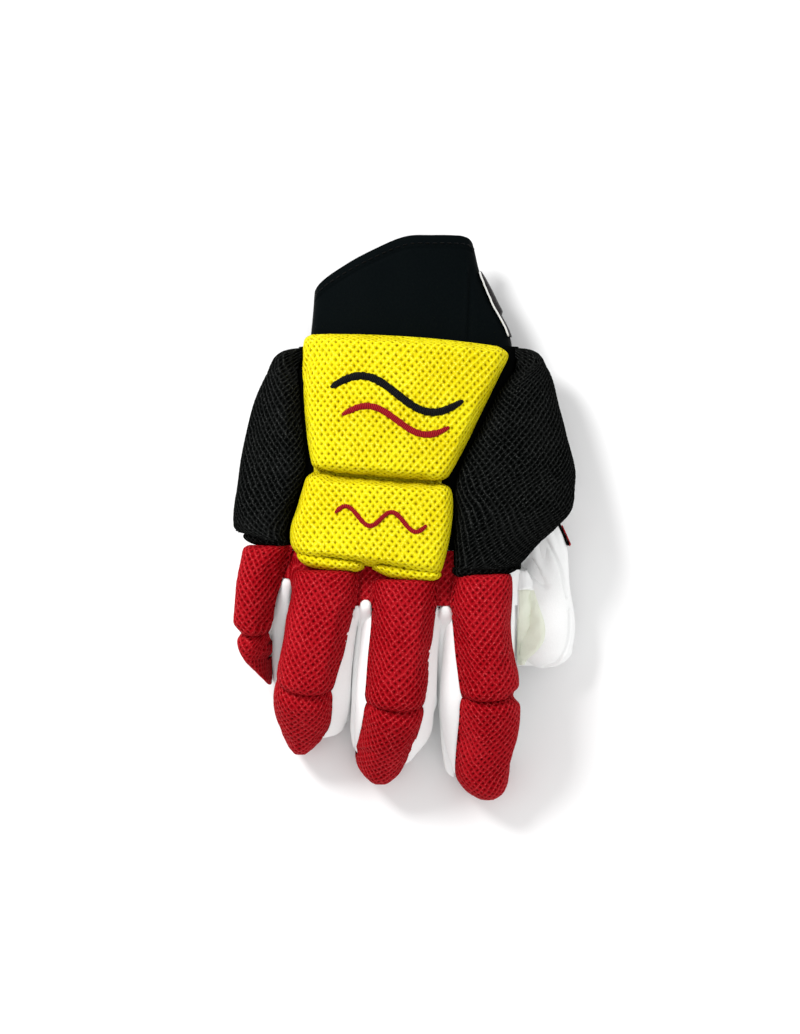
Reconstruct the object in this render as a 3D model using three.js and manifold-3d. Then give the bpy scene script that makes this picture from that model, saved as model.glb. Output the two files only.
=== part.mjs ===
// A roller hockey glove for the right hand, lying palm down.
// Millimetres. +X is the thumb side, -Y is where the fingers point, +Z is up; the glove rests on z = 0.
// The hand is a flattened tube of a white leather palm below and fabric above. Each finger is a leather
// stall that starts at the front of that tube, with two foam rolls on its back. Foam pads cover the hand.
import * as THREE from "three";
import { mergeVertices } from "three/addons/utils/BufferGeometryUtils.js";
import Module from "manifold-3d";

// Driving dimensions.
const LEATHER = 1.6; // wall of the palm and the stalls
const FABRIC = 2.0; // wall of the base fabric on the back
const NEOPRENE = 3.0; // wall of the cuff
const GAP = 0.45; // air between pieces that touch
const PAD_GAP = 1.5; // air between a pad and the curved shell below it
const PAD_FOAM = 12.5; // back pads
const SIDE_FOAM = 10; // side pads, at the silhouette
const ROLL_FOAM = 9.5; // finger rolls, over the top of the stall
const TIP_FOAM = 8.5; // fingertip rolls
const HAND_POWER = 2.5; // exponent of the hand's superellipse section
const DIGIT_POWER = 2.4; // exponent of a finger's superellipse section
const WRIST_Y = 69; // where the hand's tube meets the cuff
const FRONT_Y = -38; // where the stalls start
const LITTLE_FRONT_Y = -26; // where the little finger's stall starts
const TIP_TURNS = [[30, 0.97], [60, 0.9], [88, 0.72], [112, 0.45], [128, 0.1]]; // degrees round the tip, and puff
const STRAP_THICK = 1.5;
const STRAP_GAP = 0.8; // air between the strap and the cuff

// The hand's outer surface: left and right sides, underside and top at each station along Y.
// What would reach below the floor is flat there. arch lowers the sides, and tilt lowers the little finger's side and lifts the index finger's.
const HAND = [
  { y: 72, left: -46.5, right: 49.0, low: -1, high: 36, arch: 0, tilt: 0 },
  { y: 64, left: -50.2, right: 52.4, low: -1.5, high: 38, arch: 0.5, tilt: 0 },
  { y: 55, left: -53.8, right: 55.0, low: -1.5, high: 40, arch: 1, tilt: 0 },
  { y: 38, left: -58.5, right: 59.4, low: -1.5, high: 42, arch: 2, tilt: 0 },
  { y: 20, left: -62.2, right: 63.6, low: -0.8, high: 44, arch: 3, tilt: 0.5 },
  { y: 4, left: -64.6, right: 65.0, low: 2, high: 46, arch: 4, tilt: 1 },
  { y: -5, left: -65.5, right: 60.0, low: 5, high: 47, arch: 5, tilt: 2 },
  { y: -12, left: -66.5, right: 54.5, low: 8, high: 47.5, arch: 6, tilt: 3 },
  { y: -20, left: -68.0, right: 51.0, low: 12, high: 48, arch: 7, tilt: 4 },
  { y: -40, left: -70.0, right: 50.0, low: 24, high: 48, arch: 8, tilt: 4 },
];

// The cuff's outer surface, and how far its mouth reaches up at each X of its back.
const CUFF = [
  { y: 69.5, left: -43.0, right: 47.5, low: 2.4, high: 36 },
  { y: 82, left: -42.0, right: 44.0, low: 2.4, high: 35.5 },
  { y: 96, left: -41.3, right: 38.0, low: 2.4, high: 34.5 },
  { y: 110, left: -41.0, right: 32.4, low: 2.4, high: 33.5 },
  { y: 119, left: -41.0, right: 30.2, low: 2.4, high: 32.6 },
  { y: 126, left: -41.0, right: 28.4, low: 2.4, high: 32 },
];
const CUFF_MOUTH = [
  { x: -42, y: 100 },
  { x: -38, y: 104.5 },
  { x: -28, y: 111.5 },
  { x: -14, y: 119 },
  { x: 0, y: 124.6 },
  { x: 12, y: 125 },
  { x: 23, y: 124.9 },
  { x: 28, y: 122.5 },
  { x: 31.5, y: 115 },
];
const CUFF_PALM_Y = 100.5; // the mouth on the palm side

// Fingers: the stall's middle line in y and z, its left and right sides, the roll's sides, and the
// stall's half height. The first row is the knuckle, the crease row is where the roll is divided.
const DIGITS = {
  little: {
    start: 1, crease: 3, lean: -26, tip: 6.5,
    rows: [
      { y: -15.2, z: 29.0, left: -66.5, right: -49.5, rollLeft: -70.2, rollRight: -48.0, half: 9 },
      { y: -26.5, z: 28.0, left: -69.5, right: -52.6, rollLeft: -71.7, rollRight: -50.0, half: 9 },
      { y: -36, z: 26.0, left: -70.6, right: -53.2, rollLeft: -73.0, rollRight: -54.1, half: 8.8 },
      { y: -46, z: 22.0, left: -71.4, right: -54.6, rollLeft: -73.4, rollRight: -56.0, half: 8.5 },
      { y: -54, z: 16.4, left: -67.0, right: -53.2, rollLeft: -69.2, rollRight: -54.2, half: 8 },
      { y: -61, z: 11, left: -61.6, right: -52.0, rollLeft: -62.0, rollRight: -52.6, half: 6.5 },
    ],
  },
  ring: {
    start: 1, crease: 3, lean: -5, tip: 7,
    rows: [
      { y: -25.6, z: 37.0, left: -49.5, right: -20.0, rollLeft: -49.0, rollRight: -19.8, half: 10.5 },
      { y: -38.5, z: 36.5, left: -51.0, right: -19.4, rollLeft: -52.4, rollRight: -20.2, half: 10.5 },
      { y: -55, z: 35.0, left: -53.5, right: -21.9, rollLeft: -54.8, rollRight: -24.0, half: 10 },
      { y: -70, z: 30.5, left: -55.8, right: -23.4, rollLeft: -57.3, rollRight: -28.4, half: 10 },
      { y: -81, z: 20.3, left: -56.5, right: -24.3, rollLeft: -58.0, rollRight: -31.0, half: 9.5 },
      { y: -90, z: 11.5, left: -54.0, right: -27.0, rollLeft: -55.0, rollRight: -34.0, half: 8 },
    ],
  },
  middle: {
    start: 1, crease: 3, lean: 0, tip: 7,
    rows: [
      { y: -29.0, z: 38.5, left: -14.5, right: 14.6, rollLeft: -14.8, rollRight: 14.9, half: 10.5 },
      { y: -38.5, z: 38.0, left: -18.0, right: 16.6, rollLeft: -15.4, rollRight: 14.6, half: 10.5 },
      { y: -58, z: 36.5, left: -21.2, right: 14.9, rollLeft: -16.5, rollRight: 13.4, half: 10 },
      { y: -78, z: 32.0, left: -22.7, right: 13.6, rollLeft: -18.2, rollRight: 10.4, half: 10 },
      { y: -91, z: 21.8, left: -23.6, right: 11.5, rollLeft: -21.0, rollRight: 6.8, half: 9.5 },
      { y: -102, z: 11.5, left: -23.4, right: 4.5, rollLeft: -22.0, rollRight: 3.5, half: 8 },
    ],
  },
  index: {
    start: 1, crease: 3, lean: 5, tip: 7.5,
    rows: [
      { y: -27.6, z: 37.5, left: 20.2, right: 49.0, rollLeft: 20.2, rollRight: 49.3, half: 10.5 },
      { y: -38.5, z: 37.0, left: 17.4, right: 49.5, rollLeft: 19.4, rollRight: 49.2, half: 10.5 },
      { y: -56, z: 35.0, left: 15.6, right: 48.4, rollLeft: 20.3, rollRight: 48.8, half: 10 },
      { y: -74.5, z: 30.0, left: 14.3, right: 46.8, rollLeft: 22.3, rollRight: 50.0, half: 10 },
      { y: -93, z: 19.8, left: 15.3, right: 46.8, rollLeft: 21.6, rollRight: 49.2, half: 9.5 },
      { y: -109, z: 11, left: 20.5, right: 44.5, rollLeft: 21.5, rollRight: 46.5, half: 8 },
    ],
  },
  thumb: {
    start: 0, crease: 3, lean: 12, tip: 8,
    rows: [
      { y: 20, z: 18.5, left: 36.0, right: 58.0, rollLeft: 40, rollRight: 60, half: 11.5 },
      { y: 2, z: 18.0, left: 45.0, right: 66.5, rollLeft: 47, rollRight: 68, half: 11.5 },
      { y: -12, z: 17.5, left: 48.2, right: 69.0, rollLeft: 48, rollRight: 71, half: 11.5 },
      { y: -30, z: 16.6, left: 49.4, right: 70.8, rollLeft: 50, rollRight: 74, half: 11.2 },
      { y: -46, z: 15.3, left: 50.4, right: 72.8, rollLeft: 51, rollRight: 74, half: 10.5 },
      { y: -58, z: 13.8, left: 52.0, right: 72.0, rollLeft: 53, rollRight: 72, half: 9.2 },
    ],
  },
};

// Pads of the back, front end first. The left and right edges are given as X and Y seen from above;
// bow lifts the middle of a row towards the wrist.
const BACK_PADS = {
  back_pad_upper: [
    { leftX: -37.8, leftY: 22.3, rightX: 13.2, rightY: 15.8, bow: -1 },
    { leftX: -40.5, leftY: 24.1, rightX: 17.6, rightY: 17.1, bow: -1 },
    { leftX: -41.8, leftY: 27.2, rightX: 20.2, rightY: 20.6, bow: -0.5 },
    { leftX: -43.6, leftY: 37, rightX: 26.0, rightY: 31.7, bow: 0 },
    { leftX: -44.9, leftY: 52.4, rightX: 33.4, rightY: 47.1, bow: 0.5 },
    { leftX: -45.3, leftY: 67.8, rightX: 41.4, rightY: 63.4, bow: 1 },
    { leftX: -45.3, leftY: 75.7, rightX: 44.9, rightY: 70.8, bow: 1.5 },
    { leftX: -44.4, leftY: 79.6, rightX: 44.0, rightY: 73.9, bow: 1.5 },
    { leftX: -41.4, leftY: 81.4, rightX: 40.0, rightY: 76.2, bow: 1.5 },
  ],
  back_pad_lower: [
    { leftX: -45.3, leftY: -17.2, rightX: 12.3, rightY: -25.1, bow: 0.5 },
    { leftX: -48.4, leftY: -14.5, rightX: 15.0, rightY: -23.3, bow: 0.5 },
    { leftX: -50.6, leftY: -10.6, rightX: 16.7, rightY: -18.9, bow: 0.5 },
    { leftX: -50.6, leftY: -3.5, rightX: 18.9, rightY: -9.2, bow: 0 },
    { leftX: -48.0, leftY: 4.8, rightX: 20.4, rightY: 1.8, bow: 0 },
    { leftX: -45.3, leftY: 12.6, rightX: 20.4, rightY: 9.0, bow: -0.5 },
    { leftX: -43.6, leftY: 16.6, rightX: 19.0, rightY: 12.2, bow: -1 },
    { leftX: -40.5, leftY: 18.8, rightX: 15.8, rightY: 13.7, bow: -1 },
  ],
};

// Side pads, front end first: the inner edge as X and Y seen from above, and the outer edge as degrees
// round the hand's section from its side, below it if negative, and Y.
const SIDE_PADS = {
  side_pad_little: {
    side: -1,
    rows: [
      { innerX: -52.0, innerY: -11.4, outer: 30, outerY: -7.0 },
      { innerX: -51.9, innerY: -9.6, outer: 8, outerY: -4.5 },
      { innerX: -51.7, innerY: -5.0, outer: -4, outerY: -1.0 },
      { innerX: -49.5, innerY: 4.0, outer: -10, outerY: 6.0 },
      { innerX: -46.2, innerY: 13, outer: -12, outerY: 14 },
      { innerX: -43.4, innerY: 24, outer: -12, outerY: 24 },
      { innerX: -44.8, innerY: 40, outer: -10, outerY: 40 },
      { innerX: -45.9, innerY: 56, outer: -6, outerY: 56 },
      { innerX: -46.6, innerY: 67, outer: -2, outerY: 67 },
      { innerX: -46.2, innerY: 75.6, outer: 2, outerY: 75.2 },
    ],
  },
  side_pad_thumb: {
    side: 1,
    rows: [
      { innerX: 22.4, innerY: -23.2, outer: 44, outerY: -21.6 },
      { innerX: 20.9, innerY: -21.2, outer: 30, outerY: -18.2 },
      { innerX: 20.6, innerY: -17, outer: 23, outerY: -12.5 },
      { innerX: 20.9, innerY: -8, outer: 19, outerY: -4.0 },
      { innerX: 21.4, innerY: 3, outer: 11, outerY: 4 },
      { innerX: 21.6, innerY: 12.5, outer: 4, outerY: 14 },
      { innerX: 23.6, innerY: 22, outer: -8, outerY: 24 },
      { innerX: 32.0, innerY: 39, outer: -10, outerY: 40 },
      { innerX: 39.8, innerY: 55, outer: -6, outerY: 56 },
      { innerX: 47.6, innerY: 67, outer: -2, outerY: 67 },
      { innerX: 48.4, innerY: 75.6, outer: 2, outerY: 75.2 },
    ],
  },
};

// Small rolls between the pads and the finger rolls: where their rear and front edges start and end.
const TABS = {
  ring_tab: { foam: 7.5, leftX: -43.5, rightX: -19.4, left: -18.3, right: -21.6, leftFront: -21.9, rightFront: -24.8 },
  middle_tab: { foam: 7.5, leftX: -12.6, rightX: 14.4, left: -22.5, right: -25.9, leftFront: -26.4, rightFront: -28.2 },
  little_tab: { foam: 6.5, leftX: -68.0, rightX: -52.0, left: -8.2, right: -12.2, leftFront: -11.4, rightFront: -14.4 },
  index_tab: { foam: 6.5, leftX: 23.0, rightX: 48.6, left: -24.2, right: -23.4, leftFront: -26.9, rightFront: -26.4 },
};

// Values between table rows.
function smooth(rows, keys) {
  const at = rows.map((row) => row.at);
  const values = rows.flatMap((row) => keys.map((key) => row[key]));
  const between = new THREE.CubicInterpolant(at, values, keys.length, []);
  return (where) => {
    const found = between.evaluate(THREE.MathUtils.clamp(where, at[0], at[at.length - 1]));
    return Object.fromEntries(keys.map((key, i) => [key, found[i]]));
  };
}

// A table read at a Y, whichever way its rows run.
function stationsAlongY(rows, keys) {
  const sorted = [...rows].sort((a, b) => a.y - b.y).map((row) => ({ ...row, at: row.y }));
  return smooth(sorted, keys);
}

// A table read by row number, so 1.5 is halfway between its second and third rows.
function byRowNumber(rows, keys) {
  return smooth(rows.map((row, i) => ({ ...row, at: i })), keys);
}

const signedPower = (value, power) => Math.sign(value) * Math.abs(value) ** power;
const lerp = THREE.MathUtils.lerp;
const radians = THREE.MathUtils.degToRad;

// A closed solid between two grids of points, outer and inner, row by row.
function slab(outer, inner) {
  const rows = outer.length;
  const columns = outer[0].length;
  const points = [...outer.flat(), ...inner.flat()];
  const out = (r, c) => r * columns + c;
  const into = (r, c) => rows * columns + r * columns + c;
  const faces = [];
  const quad = (a, b, c, d) => faces.push(a, b, c, a, c, d);
  for (let r = 0; r + 1 < rows; r++) {
    for (let c = 0; c + 1 < columns; c++) {
      quad(out(r, c), out(r, c + 1), out(r + 1, c + 1), out(r + 1, c));
      quad(into(r, c), into(r + 1, c), into(r + 1, c + 1), into(r, c + 1));
    }
    quad(out(r, 0), out(r + 1, 0), into(r + 1, 0), into(r, 0));
    quad(out(r + 1, columns - 1), out(r, columns - 1), into(r, columns - 1), into(r + 1, columns - 1));
  }
  for (let c = 0; c + 1 < columns; c++) {
    quad(out(0, c + 1), out(0, c), into(0, c), into(0, c + 1));
    quad(out(rows - 1, c), out(rows - 1, c + 1), into(rows - 1, c + 1), into(rows - 1, c));
  }
  return closedGeometry(points, faces);
}

// A tube between two stacks of rings, open at its first ring. It is open at its last ring too, or
// closed there over the two tips.
function tube(outer, inner, tips) {
  const rows = outer.length;
  const around = outer[0].length;
  const points = [...outer.flat(), ...inner.flat(), ...(tips ?? [])];
  const out = (r, c) => r * around + (c % around);
  const into = (r, c) => rows * around + r * around + (c % around);
  const faces = [];
  const quad = (a, b, c, d) => faces.push(a, b, c, a, c, d);
  for (let c = 0; c < around; c++) {
    for (let r = 0; r + 1 < rows; r++) {
      quad(out(r, c), out(r, c + 1), out(r + 1, c + 1), out(r + 1, c));
      quad(into(r, c), into(r + 1, c), into(r + 1, c + 1), into(r, c + 1));
    }
    quad(out(0, c + 1), out(0, c), into(0, c), into(0, c + 1));
    if (tips) {
      faces.push(out(rows - 1, c), out(rows - 1, c + 1), points.length - 2);
      faces.push(into(rows - 1, c + 1), into(rows - 1, c), points.length - 1);
    } else {
      quad(out(rows - 1, c), out(rows - 1, c + 1), into(rows - 1, c + 1), into(rows - 1, c));
    }
  }
  return closedGeometry(points, faces);
}

// A solid inside one stack of rings, closed flat at both ends.
function plug(rings) {
  const around = rings[0].length;
  const middle = (ring) => ring.reduce((sum, p) => sum.add(p), new THREE.Vector3()).divideScalar(around);
  const last = (rings.length - 1) * around;
  const points = [...rings.flat(), middle(rings[0]), middle(rings[rings.length - 1])];
  const faces = [];
  for (let c = 0; c < around; c++) {
    const d = (c + 1) % around;
    for (let r = 0; r < last; r += around) {
      faces.push(r + c, r + d, r + around + d, r + c, r + around + d, r + around + c);
    }
    faces.push(d, c, points.length - 2, last + c, last + d, points.length - 1);
  }
  return closedGeometry(points, faces);
}

// Faces that point out, whichever way the grid ran.
function closedGeometry(points, faces) {
  let volume = 0;
  for (let i = 0; i < faces.length; i += 3) {
    const [a, b, c] = [points[faces[i]], points[faces[i + 1]], points[faces[i + 2]]];
    volume += new THREE.Vector3().crossVectors(b, c).dot(a);
  }
  const turned = volume < 0 ? faces.toReversed() : faces;
  const positions = new Float32Array(points.flatMap((p) => [p.x, p.y, p.z]));
  return new THREE.BufferGeometry()
    .setAttribute("position", new THREE.BufferAttribute(positions, 3))
    .setIndex(turned);
}

// The hand's surface.
const handStation = stationsAlongY(HAND, ["left", "right", "low", "high", "arch", "tilt"]);

function handPoint(angle, y, offset = 0) {
  const s = handStation(y);
  const halfWidth = (s.right - s.left) / 2;
  const halfHeight = (s.high - s.low) / 2;
  const across = signedPower(Math.cos(angle), 2 / HAND_POWER);
  const up = signedPower(Math.sin(angle), 2 / HAND_POWER);
  const normal = new THREE.Vector2(
    signedPower(across, HAND_POWER - 1) / halfWidth,
    signedPower(up, HAND_POWER - 1) / halfHeight,
  ).normalize();
  const middle = (s.high + s.low) / 2 - s.arch * across * across + s.tilt * across;
  const x = (s.left + s.right) / 2 + halfWidth * across + offset * normal.x;
  const z = middle + halfHeight * up + offset * normal.y;
  return new THREE.Vector3(x, y, Math.max(z, -offset));
}

// The angle on the upper half of the hand's section that lies over x.
function angleOver(x, y) {
  const s = handStation(y);
  const across = THREE.MathUtils.clamp((2 * x - s.left - s.right) / (s.right - s.left), -1, 1);
  return Math.acos(signedPower(across, HAND_POWER / 2));
}

const handTop = (x, y) => handPoint(angleOver(x, y), y).z;

// Where the hand's tube ends in front, as a smooth step from the little finger to the others.
function frontOf(x) {
  return lerp(LITTLE_FRONT_Y, FRONT_Y, THREE.MathUtils.smoothstep(x, -52.6, -48.6));
}

// Half of the hand's tube, from one angle to another and from one Y to another.
function handHalf({ from, to, back, front, wall, columns, rows, outset = 0 }) {
  const grid = (offset) =>
    Array.from({ length: rows + 1 }, (_, r) =>
      Array.from({ length: columns + 1 }, (_, c) => {
        const angle = radians(lerp(from, to, c / columns));
        const end = front ?? frontOf(handPoint(angle, FRONT_Y).x);
        return handPoint(angle, lerp(back, end, r / rows), offset);
      }),
    );
  return slab(grid(outset), grid(outset - wall));
}

// The thickness of foam across a pad, 1 in the middle and falling round to its edges.
function rounded(share, edge) {
  const d = Math.min(share, 1 - share) / edge;
  return d >= 1 ? 1 : Math.sqrt(1 - (1 - d) ** 2);
}

// A grid over a pad, with its nodes closer together towards the edges. place turns the shares across
// and along the pad, the puff of the foam there, and whether it is the outer face, into a point.
function padGrid({ rows, columns, sideEdge, endEdge }, place, isOuter) {
  const eased = (i, count) => (1 - Math.cos((Math.PI * i) / count)) / 2;
  return Array.from({ length: rows + 1 }, (_, r) =>
    Array.from({ length: columns + 1 }, (_, c) => {
      const across = eased(c, columns);
      const along = eased(r, rows);
      return place(across, along, rounded(across, sideEdge) * rounded(along, endEdge), isOuter);
    }),
  );
}

// A pad on the hand. reach gives the angle and Y at a share across and a row number.
function handPad({ rowCount, reach, foam, rim = 0.9, ...size }) {
  const place = (across, along, puff, isOuter) => {
    const { angle, y } = reach(across, along * (rowCount - 1));
    return handPoint(angle, y, PAD_GAP + (isOuter ? rim + (foam - rim) * puff : 0));
  };
  return slab(padGrid(size, place, true), padGrid(size, place, false));
}

// The height of the shell below the back pads, carried on level past the sides of the hand.
function deck(x, y) {
  const s = handStation(y);
  const middle = (s.left + s.right) / 2;
  const reach = ((s.right - s.left) / 2) * 0.9;
  const inside = THREE.MathUtils.clamp(x, middle - reach, middle + reach);
  return y > CUFF[0].y - 2 ? Math.max(handTop(inside, y), cuffTop(x, y)) : handTop(inside, y);
}

function backPad(rows) {
  const at = byRowNumber(rows, ["leftX", "leftY", "rightX", "rightY", "bow"]);
  const rim = 0.9;
  const place = (across, along, puff, isOuter) => {
    const p = at(along * (rows.length - 1));
    const x = lerp(p.leftX, p.rightX, across);
    const y = lerp(p.leftY, p.rightY, across) + p.bow * 4 * across * (1 - across);
    return new THREE.Vector3(x, y, deck(x, y) + PAD_GAP + (isOuter ? rim + (PAD_FOAM - rim) * puff : 0));
  };
  const size = { rows: 12, columns: 14, sideEdge: 0.12, endEdge: 0.2 };
  return slab(padGrid(size, place, true), padGrid(size, place, false));
}

function sidePad({ side, rows }) {
  const at = byRowNumber(rows, ["innerX", "innerY", "outer", "outerY"]);
  const reach = (across, row) => {
    const p = at(row);
    const fromSide = (angle) => (side > 0 ? angle : Math.PI - angle);
    const outer = fromSide(radians(p.outer));
    const inner = fromSide(Math.max(radians(20), fromSide(angleOver(p.innerX, p.innerY))));
    const y = lerp(p.innerY, p.outerY, across);
    return { angle: lerp(inner, outer, across), y };
  };
  const size = { rows: 13, columns: 14, sideEdge: 0.22, endEdge: 0.11 };
  return handPad({ rowCount: rows.length, reach, foam: SIDE_FOAM, ...size });
}

function tab({ foam, leftX, rightX, left, right, leftFront, rightFront }) {
  const reach = (across, row) => {
    const y = lerp(lerp(left, right, across), lerp(leftFront, rightFront, across), row);
    return { angle: angleOver(lerp(leftX, rightX, across), y), y };
  };
  return handPad({ rowCount: 2, reach, foam, rows: 3, columns: 8, sideEdge: 0.25, endEdge: 0.5 });
}

// The cuff.
const cuffStation = stationsAlongY(CUFF, ["left", "right", "low", "high"]);
const cuffMouth = smooth(CUFF_MOUTH.map((row) => ({ ...row, at: row.x })), ["y"]);

function cuffPoint(angle, y, offset) {
  const s = cuffStation(y);
  const across = signedPower(Math.cos(angle), 2 / HAND_POWER);
  const up = signedPower(Math.sin(angle), 2 / HAND_POWER);
  return new THREE.Vector3(
    (s.left + s.right) / 2 + ((s.right - s.left) / 2 + offset) * across,
    y,
    (s.low + s.high) / 2 + ((s.high - s.low) / 2 + offset) * up,
  );
}

function cuffTop(x, y) {
  const s = cuffStation(y);
  const across = THREE.MathUtils.clamp((2 * x - s.left - s.right) / (s.right - s.left), -0.9, 0.9);
  return cuffPoint(Math.acos(signedPower(across, HAND_POWER / 2)), y, 0).z;
}

function cuffEnd(angle) {
  const backY = cuffMouth(cuffPoint(angle, 115, 0).x).y;
  const onBack = THREE.MathUtils.smoothstep(Math.sin(angle), -0.6, 0.3);
  return lerp(CUFF_PALM_Y, backY, onBack);
}

function cuff() {
  const around = 36;
  const rows = 5;
  const rings = (offset) =>
    Array.from({ length: rows + 1 }, (_, r) =>
      Array.from({ length: around }, (_, c) => {
        const angle = (2 * Math.PI * c) / around;
        return cuffPoint(angle, lerp(CUFF[0].y, cuffEnd(angle), r / rows), offset);
      }),
    );
  return tube(rings(0), rings(-NEOPRENE));
}

function wristStrap() {
  const strap = { from: 14, to: -150, front: 109.5, rear: 73, wide: 29, columns: 26, rows: 2 };
  const grid = (offset) =>
    Array.from({ length: strap.rows + 1 }, (_, r) =>
      Array.from({ length: strap.columns + 1 }, (_, c) => {
        const angle = radians(lerp(strap.from, strap.to, c / strap.columns));
        const front = Math.min(strap.front, cuffEnd(angle) - 3);
        const rear = Math.max(strap.rear, front - strap.wide);
        return cuffPoint(angle, lerp(rear, front, r / strap.rows), offset);
      }),
    );
  return slab(grid(STRAP_GAP + STRAP_THICK), grid(STRAP_GAP));
}

// Fingers. A place on a finger is a share along its table, and u and v across and above its middle line.
const DIGIT_KEYS = ["y", "z", "left", "right", "rollLeft", "rollRight", "half"];

function digitFrame(digit, at, row) {
  const here = at(row);
  const step = 0.05;
  const ahead = at(Math.min(row + step, digit.rows.length - 1));
  const behind = at(Math.max(row - step, 0));
  const line = (s) => new THREE.Vector3((s.left + s.right) / 2, s.y, s.z);
  const level = row <= digit.start && digit.start > 0;
  const tangent = level ? new THREE.Vector3(0, -1, 0) : line(ahead).sub(line(behind)).normalize();
  const lateral = new THREE.Vector3(1, 0, 0).addScaledVector(tangent, -tangent.x).normalize();
  lateral.applyAxisAngle(tangent, -radians(digit.lean));
  const up = new THREE.Vector3().crossVectors(tangent, lateral);
  const middle = (here.rollLeft + here.rollRight - here.left - here.right) / 2;
  return {
    origin: line(here), tangent, lateral, up, middle,
    halfWidth: (here.right - here.left) / 2,
    rollHalf: (here.rollRight - here.rollLeft) / 2,
    halfHeight: here.half,
  };
}

function placed(frame, u, v, t = 0) {
  return frame.origin.clone()
    .addScaledVector(frame.lateral, u)
    .addScaledVector(frame.up, v)
    .addScaledVector(frame.tangent, t);
}

// The rows along a finger, and then the angles round its tip.
function digitSteps(digit, from, per, domeSteps) {
  const last = digit.rows.length - 1;
  const count = Math.round((last - from) * per);
  const shaft = Array.from({ length: count + 1 }, (_, i) => ({ row: lerp(from, last, i / count), dome: 0 }));
  const dome = Array.from({ length: domeSteps }, (_, i) => ({
    row: last,
    dome: ((i + 1) / (domeSteps + 0.6)) * (Math.PI / 2),
  }));
  return [...shaft, ...dome];
}

function stallRing(digit, at, { row, dome }, inset, around) {
  const frame = digitFrame(digit, at, row);
  const shrink = Math.cos(dome);
  return Array.from({ length: around }, (_, c) => {
    const angle = (2 * Math.PI * c) / around;
    const u = (frame.halfWidth - inset) * signedPower(Math.cos(angle), 2 / DIGIT_POWER) * shrink;
    const v = (frame.halfHeight - inset) * signedPower(Math.sin(angle), 2 / DIGIT_POWER) * shrink;
    return placed(frame, u, v, (digit.tip - inset) * Math.sin(dome));
  });
}

function stallGeometry(digit, around = 18) {
  const at = byRowNumber(digit.rows, DIGIT_KEYS);
  const steps = digitSteps(digit, digit.start, 2, 3);
  const rings = (inset) => steps.map((step) => stallRing(digit, at, step, inset, around));
  const end = digitFrame(digit, at, digit.rows.length - 1);
  const tips = [placed(end, 0, 0, digit.tip), placed(end, 0, 0, digit.tip - LEATHER)];
  return tube(rings(0), rings(LEATHER), tips);
}

// How high foam has to stay over a place across the stall, to clear its top.
function stallTop(frame, u) {
  const share = Math.min(1, Math.abs(u) / (frame.halfWidth + 2 * GAP));
  return (frame.halfHeight + GAP) * (1 - share ** DIGIT_POWER) ** (1 / DIGIT_POWER);
}

// One row of a roll: an arch of foam over the stall. turn swings the row round the finger's tip.
function rollRow(frame, { foam, puff, turn, tip, seat, columns, isOuter }) {
  const rim = 0.9;
  const halfWidth = frame.rollHalf * (0.9 + 0.1 * puff) * (turn > 90 ? 1 - (turn - 90) / 220 : 1);
  const crown = frame.halfHeight + GAP + rim + (foam - rim) * puff;
  return Array.from({ length: columns + 1 }, (_, c) => {
    const angle = Math.PI * (1 - c / columns);
    const u = frame.middle + halfWidth * signedPower(Math.cos(angle), 0.85);
    const floor = Math.max(seat, stallTop(frame, u));
    const arch = seat + (crown - seat) * Math.sin(angle) ** 0.8;
    const v = isOuter ? Math.max(floor + rim * 0.7, arch) : floor;
    const stretch = (tip + GAP) / (frame.halfHeight + GAP);
    const point = placed(frame, u, v * Math.cos(radians(turn)), v * stretch * Math.sin(radians(turn)));
    if (point.y > FRONT_Y - 1) {
      point.z = Math.max(point.z, handTop(point.x, point.y) + PAD_GAP + (isOuter ? rim : 0));
    }
    return point;
  });
}

function rollGeometry(digit, { from, to, foam, turns = [] }) {
  const at = byRowNumber(digit.rows, DIGIT_KEYS);
  const rows = 8;
  const shape = { columns: 12, seat: 2.5, tip: digit.tip };
  const puffed = (share) => Math.sqrt(1 - (1 - Math.min(1, share / 0.16)) ** 2);
  const steps = Array.from({ length: rows + 1 }, (_, i) => {
    const share = (1 - Math.cos((Math.PI * i) / rows)) / 2;
    const puff = Math.min(puffed(share), turns.length ? 1 : puffed(1 - share));
    return { row: lerp(from, to, share), turn: 0, puff };
  });
  turns.forEach(([turn, puff]) => steps.push({ row: to, turn, puff }));
  const grid = (isOuter) =>
    steps.map(({ row, turn, puff }) =>
      rollRow(digitFrame(digit, at, row), { ...shape, foam, puff, turn, isOuter }),
    );
  return slab(grid(true), grid(false));
}

// Part of the skin round the thumb, from one angle to another.
function thumbSkin({ from, to, rowFrom, rowTo, thick, rows, columns }) {
  const digit = DIGITS.thumb;
  const at = byRowNumber(digit.rows, DIGIT_KEYS);
  const grid = (isOuter) =>
    Array.from({ length: rows + 1 }, (_, r) => {
      const share = (1 - Math.cos((Math.PI * r) / rows)) / 2;
      const frame = digitFrame(digit, at, lerp(rowFrom, rowTo, share));
      return Array.from({ length: columns + 1 }, (_, c) => {
        const angle = radians(lerp(from, to, c / columns));
        const puff = rounded(share, 0.25) * rounded(c / columns, 0.35);
        const out = isOuter ? GAP + 0.8 + (thick - 0.8) * puff : GAP;
        const u = (frame.halfWidth + out) * signedPower(Math.cos(angle), 2 / DIGIT_POWER);
        const v = (frame.halfHeight + out) * signedPower(Math.sin(angle), 2 / DIGIT_POWER);
        return placed(frame, u, v);
      });
    });
  return slab(grid(true), grid(false));
}

// Booleans, for the thumb's way into the hand.
const wasm = await Module();
wasm.setup();

function solidOf(geometry) {
  const merged = mergeVertices(geometry.clone(), 1e-4);
  return new wasm.Manifold(new wasm.Mesh({
    numProp: 3,
    vertProperties: merged.attributes.position.array,
    triVerts: new Uint32Array(merged.index.array),
  }));
}

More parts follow.
